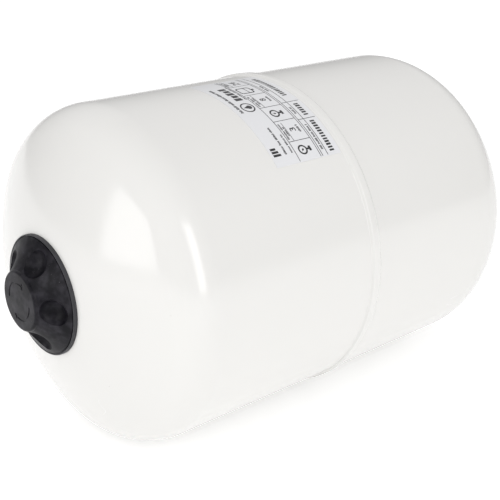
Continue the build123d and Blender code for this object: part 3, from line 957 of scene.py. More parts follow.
@dataclass
class RatingLabel:
    """The printed label, drawn flat in millimetres and laid on the shell.

    On the flat sheet u runs up round the shell from the label's lower edge, in reading direction, and v
    runs from its cap-side edge towards the seam.
    """

    shells: Shells
    width: float = 120.0
    height: float = 69.0
    film_thickness: float = 0.2
    ink_thickness: float = 0.03
    word_gap: float = 0.8
    seed: int = 24
    bars: list[Piece] = field(default_factory=list)

    def __post_init__(self) -> None:
        """Reads where the label's lower edge and cap-side edge are."""
        lo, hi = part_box("rating_label")
        self.start = lo.x
        self.low_angle = math.asin(lo.z / self.shells.radius)
        self.random = random.Random(self.seed)

    def wrap(self, piece: Piece, lift: float) -> Piece:
        """Lays a flat drawing on the shell, a lift in metres above it."""
        for vertex in piece.data.vertices:
            u, v, w = vertex.co / MM
            x = self.start + v * MM
            angle = self.low_angle + u * MM / self.shells.radius
            radius = self.shells.surface(x) + lift + w * MM
            vertex.co = (x, -radius * math.cos(angle), radius * math.sin(angle))
        return piece

    def block(self, u: float, v: float, u_end: float, v_end: float) -> None:
        """Draws a filled rectangle, divided so that it can follow the shell."""
        deselect()
        columns = max(1, math.ceil((u_end - u) / 3.0))
        rows = max(1, math.ceil((v_end - v) / 1.5))
        bpy.ops.mesh.primitive_grid_add(x_subdivisions=columns, y_subdivisions=rows, size=1.0)
        self._keep((u_end - u, v_end - v), ((u + u_end) / 2, (v + v_end) / 2))

    def _keep(self, size: Point, centre: Point, turn: float = 0.0) -> Piece:
        """Sizes, turns and places the active drawing, in millimetres, and keeps it for the print."""
        piece = bpy.context.object
        scale = Matrix.Diagonal((size[0] * MM, size[1] * MM, 1.0, 1.0))
        move = Matrix.Translation((centre[0] * MM, centre[1] * MM, 0.0))
        piece.data.transform(move @ Matrix.Rotation(turn, 4, "Z") @ scale)
        self.bars.append(piece)
        return piece

    def ring(self, u: float, v: float, outer: float, inner: float, sides: int = 36) -> None:
        """Draws a ring, from a disc whose middle is inset and removed."""
        deselect()
        bpy.ops.mesh.primitive_circle_add(vertices=sides, radius=outer, fill_type="NGON")
        piece = bpy.context.object
        edit(piece)
        bpy.ops.mesh.inset(thickness=outer - inner)
        bpy.ops.mesh.delete(type="FACE")
        deselect()
        activate(piece)
        self._keep((1.0, 1.0), (u, v))

    def disc(self, u: float, v: float, radius: float, sides: int = 24) -> None:
        """Draws a filled disc."""
        deselect()
        bpy.ops.mesh.primitive_circle_add(vertices=sides, radius=radius, fill_type="NGON")
        self._keep((1.0, 1.0), (u, v))

    def wedge(self, u: float, v: float, half: float, length: float, turn: float) -> None:
        """Draws a thin triangle with its base at a place, turned by an angle."""
        deselect()
        bpy.ops.mesh.primitive_circle_add(vertices=3, radius=1.0, fill_type="NGON")
        self._keep((half, length / 1.5), (u, v), turn)

    def words(self, u: float, v: float, u_end: float, v_end: float) -> None:
        """Draws a line of unreadable words: short strokes of random width with gaps between words."""
        place = u
        letters = 0
        while place < u_end - 0.4:
            stroke = self.random.uniform(0.6, 1.05)
            tall = self.random.random() < 0.45
            top = v if tall else v + (v_end - v) * 0.22
            self.block(place, top, min(place + stroke, u_end), v_end)
            letters += 1
            place += stroke + 0.28
            if letters > self.random.randint(3, 9):
                letters = 0
                place += self.word_gap

    def digits(self, text: str, u: float, v: float, u_end: float, v_end: float) -> None:
        """Draws a number that fills a rectangle."""
        deselect()
        bpy.ops.object.text_add()
        letters = bpy.context.object
        letters.data.body = text
        letters.data.offset = 0.012
        letters.data.resolution_u = 5
        activate(letters)
        bpy.ops.object.convert(target="MESH")
        flat = bpy.context.object
        points = [vertex.co.copy() for vertex in flat.data.vertices]
        low = Vector((min(p.x for p in points), min(p.y for p in points), 0.0))
        high = Vector((max(p.x for p in points), max(p.y for p in points), 0.0))
        flat.data.transform(Matrix.Translation(-(low + high) / 2))
        size = ((u_end - u) / (high.x - low.x), -(v_end - v) / (high.y - low.y))
        self._keep(size, ((u + u_end) / 2, (v + v_end) / 2))

    def gauge(self, u: float, lean: float) -> None:
        """Draws a pressure gauge sign: dial, pointer, stem and foot."""
        self.ring(u, 33.3, 4.5, 3.1)
        self.wedge(u, 33.3, 0.7, 3.8, lean)
        self.disc(u, 33.3, 0.9)
        self.block(u - 0.9, 37.5, u + 0.9, 39.7)
        self.block(u - 2.3, 39.6, u + 2.3, 41.9)

    def tank(self, u: float, v: float, u_end: float, v_end: float) -> None:
        """Draws a tank sign: a round-cornered outline with a stub at its foot."""
        line, stub = 1.1, 2.2
        body_end = v_end - stub
        for side in (u, u_end - line):
            self.block(side, v + 1.6, side + line, body_end - 1.6)
        for end in (v, body_end - line):
            self.block(u + 1.8, end, u_end - 1.8, end + line)
        for corner_u, side in ((u, 1), (u_end, -1)):
            for corner_v, way in ((v, 1), (body_end, -1)):
                self.disc(corner_u + side * 1.25, corner_v + way * 1.2, 0.85, 12)
        self.block((u + u_end) / 2 - 1.0, body_end, (u + u_end) / 2 + 1.0, v_end)
        self.block(u + 1.0, v + 8.2, u_end - 1.0, v + 8.9)

    def heading(self) -> None:
        """Draws the label's head: plain blocks, an emblem of a ring with a drop, and lines of words."""
        for i in range(3):
            self.block(9.1 + 2.9 * i, 2.5, 11.2 + 2.9 * i, 10.1 - 1.1 * i)
        self.words(9.4, 14.0, 37.0, 16.1)
        self.words(9.7, 20.7, 28.0, 22.4)
        self.words(57.7, 4.2, 101.0, 7.0)
        self.ring(63.6, 15.4, 6.4, 5.2, 48)
        self.disc(63.6, 17.0, 2.5)
        self.wedge(63.6, 14.2, 2.1, 4.4, math.pi)
        for i in range(5):
            self.block(74.6 + 5.3 * i, 12.6 + 1.2 * (i % 2), 78.6 + 5.3 * i, 19.9)
        self.words(74.5, 22.0, 102.5, 23.6)

    def table(self) -> None:
        """Draws the table of ratings: its rules, signs, headings and numbers."""
        self.block(0.8, 24.3, 118.0, 24.9)
        for u in (19.2, 41.2, 59.5, 80.1, 99.7):
            self.block(u - 0.27, 24.8, u + 0.27, 47.1)
        for u in (21.4, 61.4, 101.4):
            self.words(u, 25.8, u + 16.6, 27.6)
            self.words(u + 3.2, 28.3, u + 13.4, 29.9)
            self.block(u - 1.8, 30.25, u + 17.6, 30.75)
        self.gauge(10.1, math.radians(140))
        self.gauge(50.3, math.radians(205))
        self.digits("3", 28.4, 33.8, 32.2, 39.6)
        self.digits("8", 68.2, 33.8, 72.0, 39.6)
        self.words(26.6, 41.6, 34.8, 43.8)
        self.words(66.4, 41.6, 74.6, 43.8)
        self.tank(83.6, 26.6, 94.8, 43.0)
        self.digits("24", 103.0, 34.4, 112.4, 41.4)
        self.block(0.8, 47.0, 118.0, 47.6)
        self.block(0.8, 49.0, 118.0, 49.6)

    def footing(self) -> None:
        """Draws the label's foot: a row of headings and a row of plain blocks."""
        self.words(6.6, 51.4, 32.5, 53.5)
        self.words(45.5, 51.4, 54.0, 53.5)
        self.words(81.0, 51.4, 93.5, 53.5)
        self.block(0.8, 54.7, 118.0, 55.3)
        for u in (38.4, 60.8):
            self.block(u - 0.27, 49.5, u + 0.27, 67.9)
        for u, u_end in ((3.4, 36.6), (42.0, 57.0), (70.3, 110.9)):
            place = u
            while place < u_end - 1.2:
                self.block(place, 59.0, place + self.random.uniform(1.4, 2.1), 63.8)
                place += 2.75

    def film(self) -> Piece:
        """The film, from a grid that is thickened after it is laid on the shell."""
        deselect()
        bpy.ops.mesh.primitive_grid_add(x_subdivisions=48, y_subdivisions=46, size=1.0)
        piece = self._keep((self.width, self.height), (self.width / 2, self.height / 2))
        self.bars.remove(piece)
        piece.name = "label_film"
        return self._thicken(self.wrap(piece, 0.0), self.film_thickness * MM)

    def _thicken(self, piece: Piece, thickness: float) -> Piece:
        """Gives a sheet on the shell its thickness, outwards."""
        outward = Vector((0.0, -math.cos(self.low_angle + 0.43), math.sin(self.low_angle + 0.43)))
        for polygon in piece.data.polygons:
            if polygon.normal.dot(outward) < 0:
                polygon.flip()
        activate(piece)
        wall = piece.modifiers.new("thickness", "SOLIDIFY")
        wall.thickness = thickness
        wall.offset = 1.0
        bpy.ops.object.modifier_apply(modifier=wall.name)
        return piece

    def build(self, finishes: Finishes) -> None:
        """Makes the film and its print."""
        dress(self.film(), Body.VESSEL, Slot.FILM, finishes.film, stands_for=["rating_label"])
        self.heading()
        self.table()
        self.footing()
        print_piece = joined(*self.bars)
        print_piece.name = "label_print"
        print_piece = self._thicken(self.wrap(print_piece, self.film_thickness * MM), self.ink_thickness * MM)
        dress(print_piece, Body.VESSEL, Slot.FILM, finishes.ink)


# ---------------------------------------------------------------- protective cap


@dataclass
class ScrewCap:
    """The black cap over the valve: five finger hollows, two turn arrows, and a thread inside."""

    shells: Shells
    face_radius: float = 24.5 * MM
    face_round: float = 2.4 * MM
    brow_drop: float = 0.48 * MM
    brow_in: float = 0.72 * MM
    skirt_hollow: float = 1.1 * MM
    edge_height: float = 1.2 * MM
    wall: float = 2.2 * MM
    roof: float = 2.8 * MM
    foot_width: float = 3.1 * MM
    collar_wall: float = 2.9 * MM
    collar_gap: float = 2.6 * MM
    thread_depth: float = 0.6 * MM
    thread_pitch: float = 2.0 * MM
    finger_count: int = 5
    finger_radius: float = 12.4 * MM
    finger_lift: float = 5.6 * MM
    finger_shift: float = 1.6 * MM
    finger_wall: float = 1.0 * MM
    finger_first_angle: float = math.radians(69.5)
    arrow_radius: float = 15.0 * MM
    arrow_width: float = 1.6 * MM
    arrow_depth: float = 0.4 * MM
    arrow_head: float = 4.2 * MM
    arrow_head_half: float = 3.15 * MM
    arrow_sweep: float = math.radians(110)
    edge_step: float = 0.4 * MM
    collar_break: float = 0.5 * MM
    thread_break: float = 0.4 * MM
    thread_start: float = 2.2 * MM
    finger_margin: float = 0.02 * MM

    def __post_init__(self) -> None:
        """Reads where the cap and the boss are."""
        lo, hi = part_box("protective_cap")
        self.face = lo.x
        self.foot = hi.x
        self.edge_radius = hi.z
        self.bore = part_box("valve_boss")[1].z + THREAD_CLEARANCE
        self.edge = Vector((self.foot - self.edge_height, self.edge_radius))
        self.shoulder = Vector((self.face + self.face_round, self.face_radius))
        run = self.edge - self.shoulder
        self.out = Vector((-run.y, run.x)).normalized()
        self.middle = (self.edge + self.shoulder) / 2 - self.out * self.skirt_hollow

    def _skirt(self, line: Outline, start: Vector, end: Vector, steps: int) -> Outline:
        """Draws the slightly hollow skirt from one point to another."""
        for i in range(1, steps + 1):
            t = i / steps
            sag = 4 * t * (1 - t) * self.skirt_hollow
            point = start.lerp(end, t) - self.out * sag
            line.to(point.x, point.y)
        return line

    def _outside(self) -> Piece:
        """The cap's solid outer shape."""
        line = Outline(self.face, 0.0).to(self.face, self.face_radius - self.face_round)
        brow = Vector((self.face + self.brow_drop, self.face_radius - self.brow_in))
        line.to(self.face + self.brow_drop * 0.2, self.face_radius - self.face_round * 0.62)
        line.to(brow.x, brow.y)
        line.to(self.face + self.face_round * 0.5, self.face_radius - self.brow_in * 0.3)
        line.to(self.shoulder.x, self.shoulder.y)
        self._skirt(line, self.shoulder, self.edge, 20)
        line.to(self.edge.x + self.edge_step, self.edge_radius)
        line.to(self.foot, self.edge_radius).to(self.foot, 0.0)
        return turned("screw_cap", line.points, 240)

    def _inside(self) -> Piece:
        """The solid shape of the cap's hollow inside, with bulges where the fingers come."""
        inner_edge = Vector((self.edge.x + self.wall, self.edge_radius - self.foot_width))
        inner_shoulder = self.shoulder - self.out * self.wall
        line = Outline(self.foot + self.wall, 0.0).to(self.face + self.roof, 0.0)
        line.to(self.face + self.roof, inner_shoulder.y - self.face_round)
        line.to(inner_shoulder.x, inner_shoulder.y)
        self._skirt(line, inner_shoulder, inner_edge, 12).to(self.foot + self.wall, inner_edge.y)
        line.to(*line.points[0])
        hollow = turned("cap_inside", line.points, 200)
        return carved(hollow, *self._fingers(self.finger_radius + self.finger_wall))

    def _finger_centres(self) -> list[Vector]:
        """Where the balls that cut the finger hollows have their centres."""
        along = Vector((-self.out.y, self.out.x))
        centre = self.middle + self.out * self.finger_lift + along * self.finger_shift
        step = 2 * math.pi / self.finger_count
        angles = [self.finger_first_angle + step * i for i in range(self.finger_count)]
        return [Vector((centre.x, -centre.y * math.cos(a), centre.y * math.sin(a))) for a in angles]

    def _fingers(self, radius: float) -> list[Piece]:
        """Balls at the finger places."""
        return [ball(centre, radius) for centre in self._finger_centres()]

    def _arrow(self, turn: float) -> Piece:
        """A curved turn arrow as a cutting tool, standing through the cap's face."""
        half = self.arrow_width / 2
        count = 28
        sweep = [self.arrow_sweep * i / count for i in range(count + 1)]
        outer = [(self.arrow_radius + half, a) for a in sweep]
        inner = [(self.arrow_radius - half, a) for a in reversed(sweep)]
        tip = self.arrow_head / self.arrow_radius
        head = [
            (self.arrow_radius + self.arrow_head_half, self.arrow_sweep),
            (self.arrow_radius, self.arrow_sweep + tip),
            (self.arrow_radius - self.arrow_head_half, self.arrow_sweep),
        ]
        ring = outer + head + inner
        points = [Vector((self.face - MM, r * math.cos(a + turn), r * math.sin(a + turn))) for r, a in ring]
        tool = drawn("arrow", points + points[:1])
        bpy.ops.mesh.remove_doubles(threshold=MERGE_GAP)
        bpy.ops.mesh.edge_face_add()
        bpy.ops.mesh.extrude_region_move(TRANSFORM_OT_translate={"value": (MM + self.arrow_depth, 0, 0)})
        return mend(tool)

    def _collar(self) -> Piece:
        """The inner collar with its thread."""
        start, end = self.face + self.roof * 0.9, self.shells.air.apex - self.collar_gap
        outer = self.bore + self.collar_wall
        groove = self.bore + self.thread_depth
        corners = [
            (start, groove, 0.0),
            (start, outer, 0.0),
            (end, outer, self.collar_break),
            (end, groove, self.thread_break),
        ]
        collar = turned("cap_collar", rounded(corners), 144)
        top = self.face + self.roof + self.thread_start
        ridge = thread_ridge("cap_thread", top, end - MM, groove, self.bore, self.thread_pitch)
        return joined(collar, ridge)

    def _face_of(self, centre: Vector) -> int:
        """Which material a face takes, by where its middle is: 0 satin, 1 polished hollow, 2 arrow floor."""
        near = min((centre - place).length for place in self._centres)
        if near < self.finger_radius + self.finger_margin:
            return 1
        on_floor = self.arrow_depth * 0.5 < centre.x - self.face < self.arrow_depth * 1.05
        within = math.hypot(centre.y, centre.z) < self.face_radius - self.face_round
        return 2 if on_floor and within else 0

    def build(self, finishes: Finishes) -> None:
        """Makes and dresses the cap."""
        cap = carved(self._outside(), self._inside())
        cap = carved(cap, *self._fingers(self.finger_radius))
        cap = carved(cap, self._arrow(0.0), self._arrow(math.pi))
        self._centres = self._finger_centres()
        for polygon in cap.data.polygons:
            polygon.material_index = self._face_of(polygon.center)
        cap.data.materials.clear()
        for look in (finishes.cap, finishes.hollow, finishes.mark):
            cap.data.materials.append(look)
        cap = joined(cap, self._collar())
        numbers = [polygon.material_index for polygon in cap.data.polygons]
        looks = (finishes.cap, finishes.hollow, finishes.mark)
        dress(cap, Body.CAP, Slot.CAP, *looks, stands_for=["protective_cap"])
        cap.data.polygons.foreach_set("material_index", numbers)


@dataclass
class RimRing:
    """The rubber ring round the cap's foot, with its rolled lip and seat."""

    shells: Shells
    lip_width: float = 1.2 * MM
    seat_drop: float = 2.2 * MM
    inner_radius: float = 42.6 * MM

    def build(self, finishes: Finishes) -> None:
        """Makes and dresses the ring."""
        lo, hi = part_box("rim_ring")
        outer, head = hi.z, self.shells.air
        seat = head.height(outer) - self.seat_drop
        half = self.lip_width / 2
        line = Outline(head.height(self.inner_radius), self.inner_radius)
        line.arc((head.apex + head.crown, 0.0), (head.height(outer), outer), 6)
        line.to(lo.x + 2.2 * half, outer).to(lo.x + half, outer)
        line.arc((lo.x + half, outer - half), (lo.x, outer - half), 6)
        line.arc((lo.x + half, outer - half), (lo.x + half, outer - 2 * half), 6)
        line.to(seat, outer - self.lip_width).to(seat, self.inner_radius).to(*line.points[0])
        ring = turned("cap_rim_ring", line.points, 240)
        dress(ring, Body.RIM, Slot.SEAL, finishes.seal, stands_for=["rim_ring"])


# ---------------------------------------------------------------- air valve


@dataclass
class AirValve:
    """The threaded boss on the air head, the brass valve in it and the valve's small cap."""

    shells: Shells
    thread_depth: float = 0.6 * MM
    boss_pitch: float = 2.0 * MM
    recess_radius: float = 12.5 * MM
    recess_depth: float = 6.0 * MM
    root_radius: float = 5.0 * MM
    stem_radius: float = 3.85 * MM
    stem_bore: float = 2.6 * MM
    stem_outlet: float = 1.6 * MM
    stem_bore_depth: float = 8.0 * MM
    stem_pitch: float = 0.794 * MM
    stem_groove: float = 0.32 * MM
    hex_height: float = 2.0 * MM
    across_flats: float = 14.0 * MM
    cap_ribs: int = 20
    rib_depth: float = 0.35 * MM
    cap_roof: float = 1.15 * MM
    edge_break: float = 0.5 * MM
    crest_break: float = 0.4 * MM
    bore_break: float = 0.3 * MM
    groove_break: float = 0.25 * MM
    mouth_break: float = 0.2 * MM
    boss_lead: float = 0.8 * MM
    stem_lead: float = 0.5 * MM
    boss_shoulder: float = 1.6 * MM
    boss_weld_leg: float = 2.5 * MM

    def boss(self) -> Piece:
        """The boss, with its outside thread."""
        lo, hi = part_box("valve_boss")
        root = hi.z - self.thread_depth
        floor = self.shells.air.apex + self.recess_depth
        neck = self.shells.air.apex - self.boss_shoulder
        corners = [
            (lo.x, self.recess_radius, self.bore_break),
            (floor, self.recess_radius, self.edge_break),
            (floor, self.root_radius, 0.0),
            (hi.x, self.root_radius, 0.0),
            (hi.x, hi.z, self.crest_break),
            (neck, hi.z, 0.0),
            (neck, root, 0.0),
            (lo.x, root, self.edge_break),
        ]
        body = turned("threaded_boss", rounded(corners), 160)
        ridge = thread_ridge("boss_thread", lo.x + self.boss_lead, neck, root, hi.z, self.boss_pitch)
        return joined(body, ridge)

    def stem(self) -> Piece:
        """The valve stem: threaded mouth, hexagon and root."""
        lo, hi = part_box("valve_stem")
        seal_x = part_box("valve_stem_seal")[0].x
        hex_x = seal_x - self.hex_height
        groove = self.stem_radius - self.stem_groove
        corners = [
            (lo.x, self.stem_bore, self.mouth_break),
            (lo.x, groove, self.groove_break),
            (hex_x, groove, 0.0),
            (hex_x, self.root_radius, 0.0),
            (hi.x, self.root_radius, self.crest_break),
            (hi.x, self.stem_outlet, self.bore_break),
            (self.shells.air.apex + self.stem_bore_depth, self.stem_outlet, 0.0),
            (self.shells.air.apex + self.stem_bore_depth, self.stem_bore, 0.0),
        ]
        body = turned("valve_body", rounded(corners), 96)
        nut = softened(bar(6, self.across_flats / math.sqrt(3), hex_x, seal_x), self.groove_break)
        nut = carved(nut, bar(48, self.root_radius * 0.9, hex_x - MM, seal_x + MM))
        start = lo.x + self.stem_lead
        ridge = thread_ridge("mouth_thread", start, hex_x, groove, self.stem_radius, self.stem_pitch)
        return joined(body, nut, ridge)

    def small_cap(self) -> Piece:
        """The ribbed dust cap, hollow over the valve's mouth."""
        lo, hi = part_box("dust_cap")
        outer = hi.z
        body = softened(bar(self.cap_ribs * 6, outer, lo.x, hi.x), 0.6 * MM, 60.0, 3)
        flutes = []
        for i in range(self.cap_ribs):
            angle = 2 * math.pi * i / self.cap_ribs
            centre = (outer * math.cos(angle), outer * math.sin(angle))
            flutes.append(bar(12, self.rib_depth, lo.x - MM, hi.x - 1.5 * MM, centre))
        bore = bar(96, self.stem_radius + THREAD_CLEARANCE, lo.x + self.cap_roof, hi.x + MM)
        body = carved(carved(body, *flutes), bore)
        body.name = "ribbed_dust_cap"
        return body

    def build(self, finishes: Finishes) -> None:
        """Makes and dresses the boss, the valve and its cap."""
        dress(self.boss(), Body.VESSEL, Slot.PAINT, finishes.paint, stands_for=["valve_boss"])
        dress(self.stem(), Body.VESSEL, Slot.BRASS, finishes.brass, stands_for=["valve_stem"])
        dress(self.small_cap(), Body.DUST_CAP, Slot.DUST, finishes.dust, stands_for=["dust_cap"])
        bead = weld_ring("boss_bead", self.shells.air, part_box("valve_boss")[1].z, self.boss_weld_leg)
        dress(bead, Body.VESSEL, Slot.WELD, finishes.weld, stands_for=["boss_weld"])


def weld_ring(name: str, head: Head, radius: float, leg: float) -> Piece:
    """A fillet weld in the corner between a head's crown and a tube that stands out of it.

    Args:
        name: The piece's name.
        head: The head.
        radius: Outer radius of the tube.
        leg: Length of the weld's legs.

    Returns:
        The rippled bead.
    """
    count = 7
    sink = 0.4 * MM * head.outward
    low, high = head.height(radius), head.height(radius + leg)
    line = Outline(low - sink, radius - 0.2 * MM).to(low + head.outward * leg, radius)
    for i in range(1, count + 1):
        t = i / count
        swell = 0.6 * leg * t * (1 - t)
        along = low + head.outward * (leg * (1 - t) + swell) + (high - low) * t
        line.to(along, radius + leg * t + swell * 0.4)
    line.to(high - sink, radius + leg).to(*line.points[0])
    return roughened(turned(name, line.points, 300), 2.4 * MM, 0.3 * MM)


# ---------------------------------------------------------------- water connection


@dataclass
class ConnectionEnd:
    """The neck ring, counter flange, its bolts and washers, and the threaded nipple."""

    shells: Shells
    edge: float = 0.6 * MM
    neck_bore: float = 46.0 * MM
    neck_radius: float = 52.0 * MM
    bolt_count: int = 6
    bolt_circle: float = 62.0 * MM
    bolt_radius: float = 4.0 * MM
    bolt_pitch: float = 1.25 * MM
    bolt_groove: float = 0.45 * MM
    hole_clearance: float = 0.5 * MM
    across_flats: float = 13.0 * MM
    washer_width: float = 3.2 * MM
    washer_spring: float = 0.35 * MM
    thread_pitch: float = 1.814 * MM
    thread_root: float = 12.06 * MM
    thread_length: float = 18.0 * MM
    nipple_bore: float = 9.5 * MM
    nipple_neck: float = 12.4 * MM
    ring_thickness: float = 8.0 * MM
    tap_clearance: float = 0.05 * MM
    neck_clearance: float = 0.1 * MM
    bolt_softening: float = 0.15 * MM
    bolt_lead: float = 0.6 * MM
    tip_break: float = 0.5 * MM
    nipple_break: float = 0.4 * MM
    mouth_taper: float = 0.2 * MM
    bead_sink: float = 0.3 * MM
    bead_foot: float = 0.2 * MM

    def _holes(self, start: float, end: float, radius: float) -> list[Piece]:
        """Bars at the bolt places, as cutting tools."""
        turns = [2 * math.pi * i / self.bolt_count for i in range(self.bolt_count)]
        places = [(self.bolt_circle * math.cos(a), self.bolt_circle * math.sin(a)) for a in turns]
        return [bar(40, radius, start, end, place) for place in places]

    def neck_ring(self) -> Piece:
        """The flanged neck with its tapped holes."""
        lo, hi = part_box("neck_ring")
        outer = hi.z
        back = hi.x - self.ring_thickness
        corners = [
            (lo.x, self.neck_bore, self.edge),
            (hi.x, self.neck_bore, self.edge),
            (hi.x, outer, self.edge),
            (back, outer, self.edge),
            (back, self.neck_radius, 0.0),
            (lo.x, self.neck_radius, self.edge),
        ]
        ring = turned("painted_neck_ring", rounded(corners), 192)
        return carved(ring, *self._holes(back - MM, hi.x + MM, self.bolt_radius + self.tap_clearance))

    def flange(self) -> Piece:
        """The counter flange with its bolt holes."""
        lo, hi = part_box("counter_flange")
        inner = self.nipple_neck + self.neck_clearance
        corners = [(lo.x, inner, 0.0), (hi.x, inner, 0.0), (hi.x, hi.z, self.edge), (lo.x, hi.z, self.edge)]
        disc = turned("zinc_counter_flange", rounded(corners), 192)
        return carved(disc, *self._holes(lo.x - MM, hi.x + MM, self.bolt_radius + self.hole_clearance))

    def bolt(self) -> Piece:
        """One hexagon bolt at +Y: chamfered head, threaded shank."""
        lo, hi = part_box("flange_bolts")
        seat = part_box("spring_washers")[1].x
        corner = self.across_flats / math.sqrt(3)
        place = (self.bolt_circle, 0.0)
        head = bar(6, corner, seat, hi.x, place, math.pi / 6)
        washer_face = self.across_flats / 2 * 0.97
        cone = [
            (seat - MM, 0.0),
            (seat - MM, corner * 1.1),
            (hi.x - (corner - washer_face) * 0.62, corner * 1.02),
            (hi.x, washer_face),
            (hi.x + 0.0001 * MM, 0.0),
        ]
        tool = turned("chamfer", cone, 72)
        tool.data.transform(Matrix.Translation((0.0, self.bolt_circle, 0.0)))
        head = softened(carved(head, tool, operation="INTERSECT"), self.bolt_softening, 30.0)
        shank_root = self.bolt_radius - self.bolt_groove
        corners = [
            (lo.x, 0.0, 0.0),
            (seat + MM, 0.0, 0.0),
            (seat + MM, shank_root, 0.0),
            (lo.x, shank_root, self.tip_break),
        ]
        shank = turned("shank", rounded(corners), 40)
        start = lo.x + self.bolt_lead
        ridge = thread_ridge("shank_thread", start, seat, shank_root, self.bolt_radius, self.bolt_pitch)
        stalk = joined(shank, ridge)
        stalk.data.transform(Matrix.Translation((0.0, self.bolt_circle, 0.0)))
        return joined(head, stalk)

    def washer(self) -> Piece:
        """One spring washer at +Y: a split ring with a slight screw."""
        lo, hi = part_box("spring_washers")
        inner = self.bolt_radius + self.hole_clearance / 2
        outer = inner + self.washer_width
        thick = hi.x - lo.x - self.washer_spring
        share = 0.97
        corners = [(lo.x, inner), (lo.x + thick, inner), (lo.x + thick, outer), (lo.x, outer), (lo.x, inner)]
        ring = screw("washer", corners, self.washer_spring, share, 64)
        edit(ring)
        bpy.ops.mesh.select_all(action="DESELECT")
        bpy.ops.mesh.select_non_manifold()
        bpy.ops.mesh.edge_face_add()
        ring = softened(mend(ring), self.bolt_softening)
        ring.data.transform(Matrix.Translation((0.0, self.bolt_circle, 0.0)))
        return ring

    def nipple(self) -> Piece:
        """The pipe nipple with its helical thread."""
        lo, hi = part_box("connection_nipple")
        half = self.thread_length / 2
        corners = [
            (lo.x, self.nipple_bore, self.nipple_break),
            (hi.x, self.nipple_bore, self.edge),
            (hi.x, self.thread_root - self.mouth_taper, self.tip_break),
            (half, self.thread_root, 0.0),
            (-half, self.thread_root, 0.0),
            (-half - self.nipple_break, self.nipple_neck, 0.0),
            (lo.x, self.nipple_neck, 0.0),
        ]
        body = turned("pipe_nipple", rounded(corners), 144)
        ridge = thread_ridge("pipe_thread", -half, half, self.thread_root, hi.z, self.thread_pitch)
        return joined(body, ridge)

    def nipple_bead(self) -> Piece:
        """The weld round the nipple, on the counter flange."""
        lo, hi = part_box("nipple_weld")
        line = Outline(lo.x - self.bead_sink, self.nipple_neck - self.bead_foot).to(hi.x, self.nipple_neck)
        middle = (lo.x + 0.62 * (hi.x - lo.x), self.nipple_neck + 0.62 * (hi.z - self.nipple_neck))
        line.to(*middle).to(lo.x, hi.z).to(lo.x - self.bead_sink, hi.z - self.bead_sink).to(*line.points[0])
        return roughened(turned("nipple_bead", line.points, 180), 2.0 * MM, 0.3 * MM)

    def build(self, finishes: Finishes) -> None:
        """Makes and dresses the connection end."""
        dress(self.neck_ring(), Body.VESSEL, Slot.PAINT, finishes.paint, stands_for=["neck_ring"])
        bead = weld_ring("neck_bead", self.shells.water, self.neck_radius, NECK_WELD_LEG)
        dress(bead, Body.VESSEL, Slot.WELD, finishes.weld, stands_for=["neck_weld"])
        dress(self.flange(), Body.VESSEL, Slot.ZINC, finishes.zinc, stands_for=["counter_flange"])
        dress(self.nipple(), Body.VESSEL, Slot.ZINC, finishes.zinc, stands_for=["connection_nipple"])
        dress(self.nipple_bead(), Body.VESSEL, Slot.ZINC, finishes.zinc, stands_for=["nipple_weld"])
        for model, name, node in (
            (self.bolt(), "flange_bolt", "flange_bolts"),
            (self.washer(), "spring_washer", "spring_washers"),
        ):
            for i in range(self.bolt_count):
                twin = copied(model, f"{name}_{i + 1}", 2 * math.pi * i / self.bolt_count)
                dress(twin, Body.VESSEL, Slot.BOLT, finishes.bolt, stands_for=[node])
            bpy.data.objects.remove(model)


@dataclass
class Bag:
    """The butyl bag inside the vessel, with its round bottom, its shoulder and its clamped collar."""

    neck: float = 44.5 * MM
    body: float = 118.5 * MM
    wall: float = 2.5 * MM
    collar_height: float = 3.0 * MM
    neck_length: float = 42.0 * MM
    shoulder: float = 62.0 * MM
    slack: float = 5.0 * MM
    clamp_width: float = 19.0 * MM

    def build(self, finishes: Finishes) -> None:
        """Makes and dresses the bag."""
        lo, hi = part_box("bladder")
        collar = hi.x - self.collar_height
        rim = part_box("neck_ring")[1].z - self.clamp_width
        points: list[Point] = []
        for inset in (self.wall, 0.0):
            end = lo.x + inset
            wide = self.body - inset - self.slack / 2
            centre = (end + wide + self.slack / 2, 0.0)
            line = Outline(end + self.slack / 2, 0.0).arc(centre, (end + wide, wide), 30)
            line.to(collar - self.neck_length - self.shoulder, wide)
            line.ease(collar - self.neck_length, self.neck - inset, 16)
            line.to(collar if not inset else hi.x, self.neck - inset)
            points = line.points[::-1] if not points else line.points + [(collar, rim), (hi.x, rim)] + points
        bag = turned("bag_membrane", points + points[:1], 160)
        dress(bag, Body.VESSEL, Slot.BUTYL, finishes.butyl, stands_for=["bladder"])


class SmallNodes:
    """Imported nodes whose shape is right, which only get a better material."""

    def build(self, finishes: Finishes) -> None:
        """Dresses the valve's core parts and the seals."""
        looks = {
            finishes.brass: ("core_barrel", "core_pin"),
            finishes.wire: ("core_spring",),
            finishes.ptfe: ("core_seal",),
            finishes.seal: ("core_disc", "valve_stem_seal", "dust_cap_seal", "cap_washer"),
        }
        for look, names in looks.items():
            for name in names:
                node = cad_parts[name]
                node.data.materials.clear()
                node.data.materials.append(look)
                log.info("%s: packed node with %s", name, look.name)


# ---------------------------------------------------------------- studio


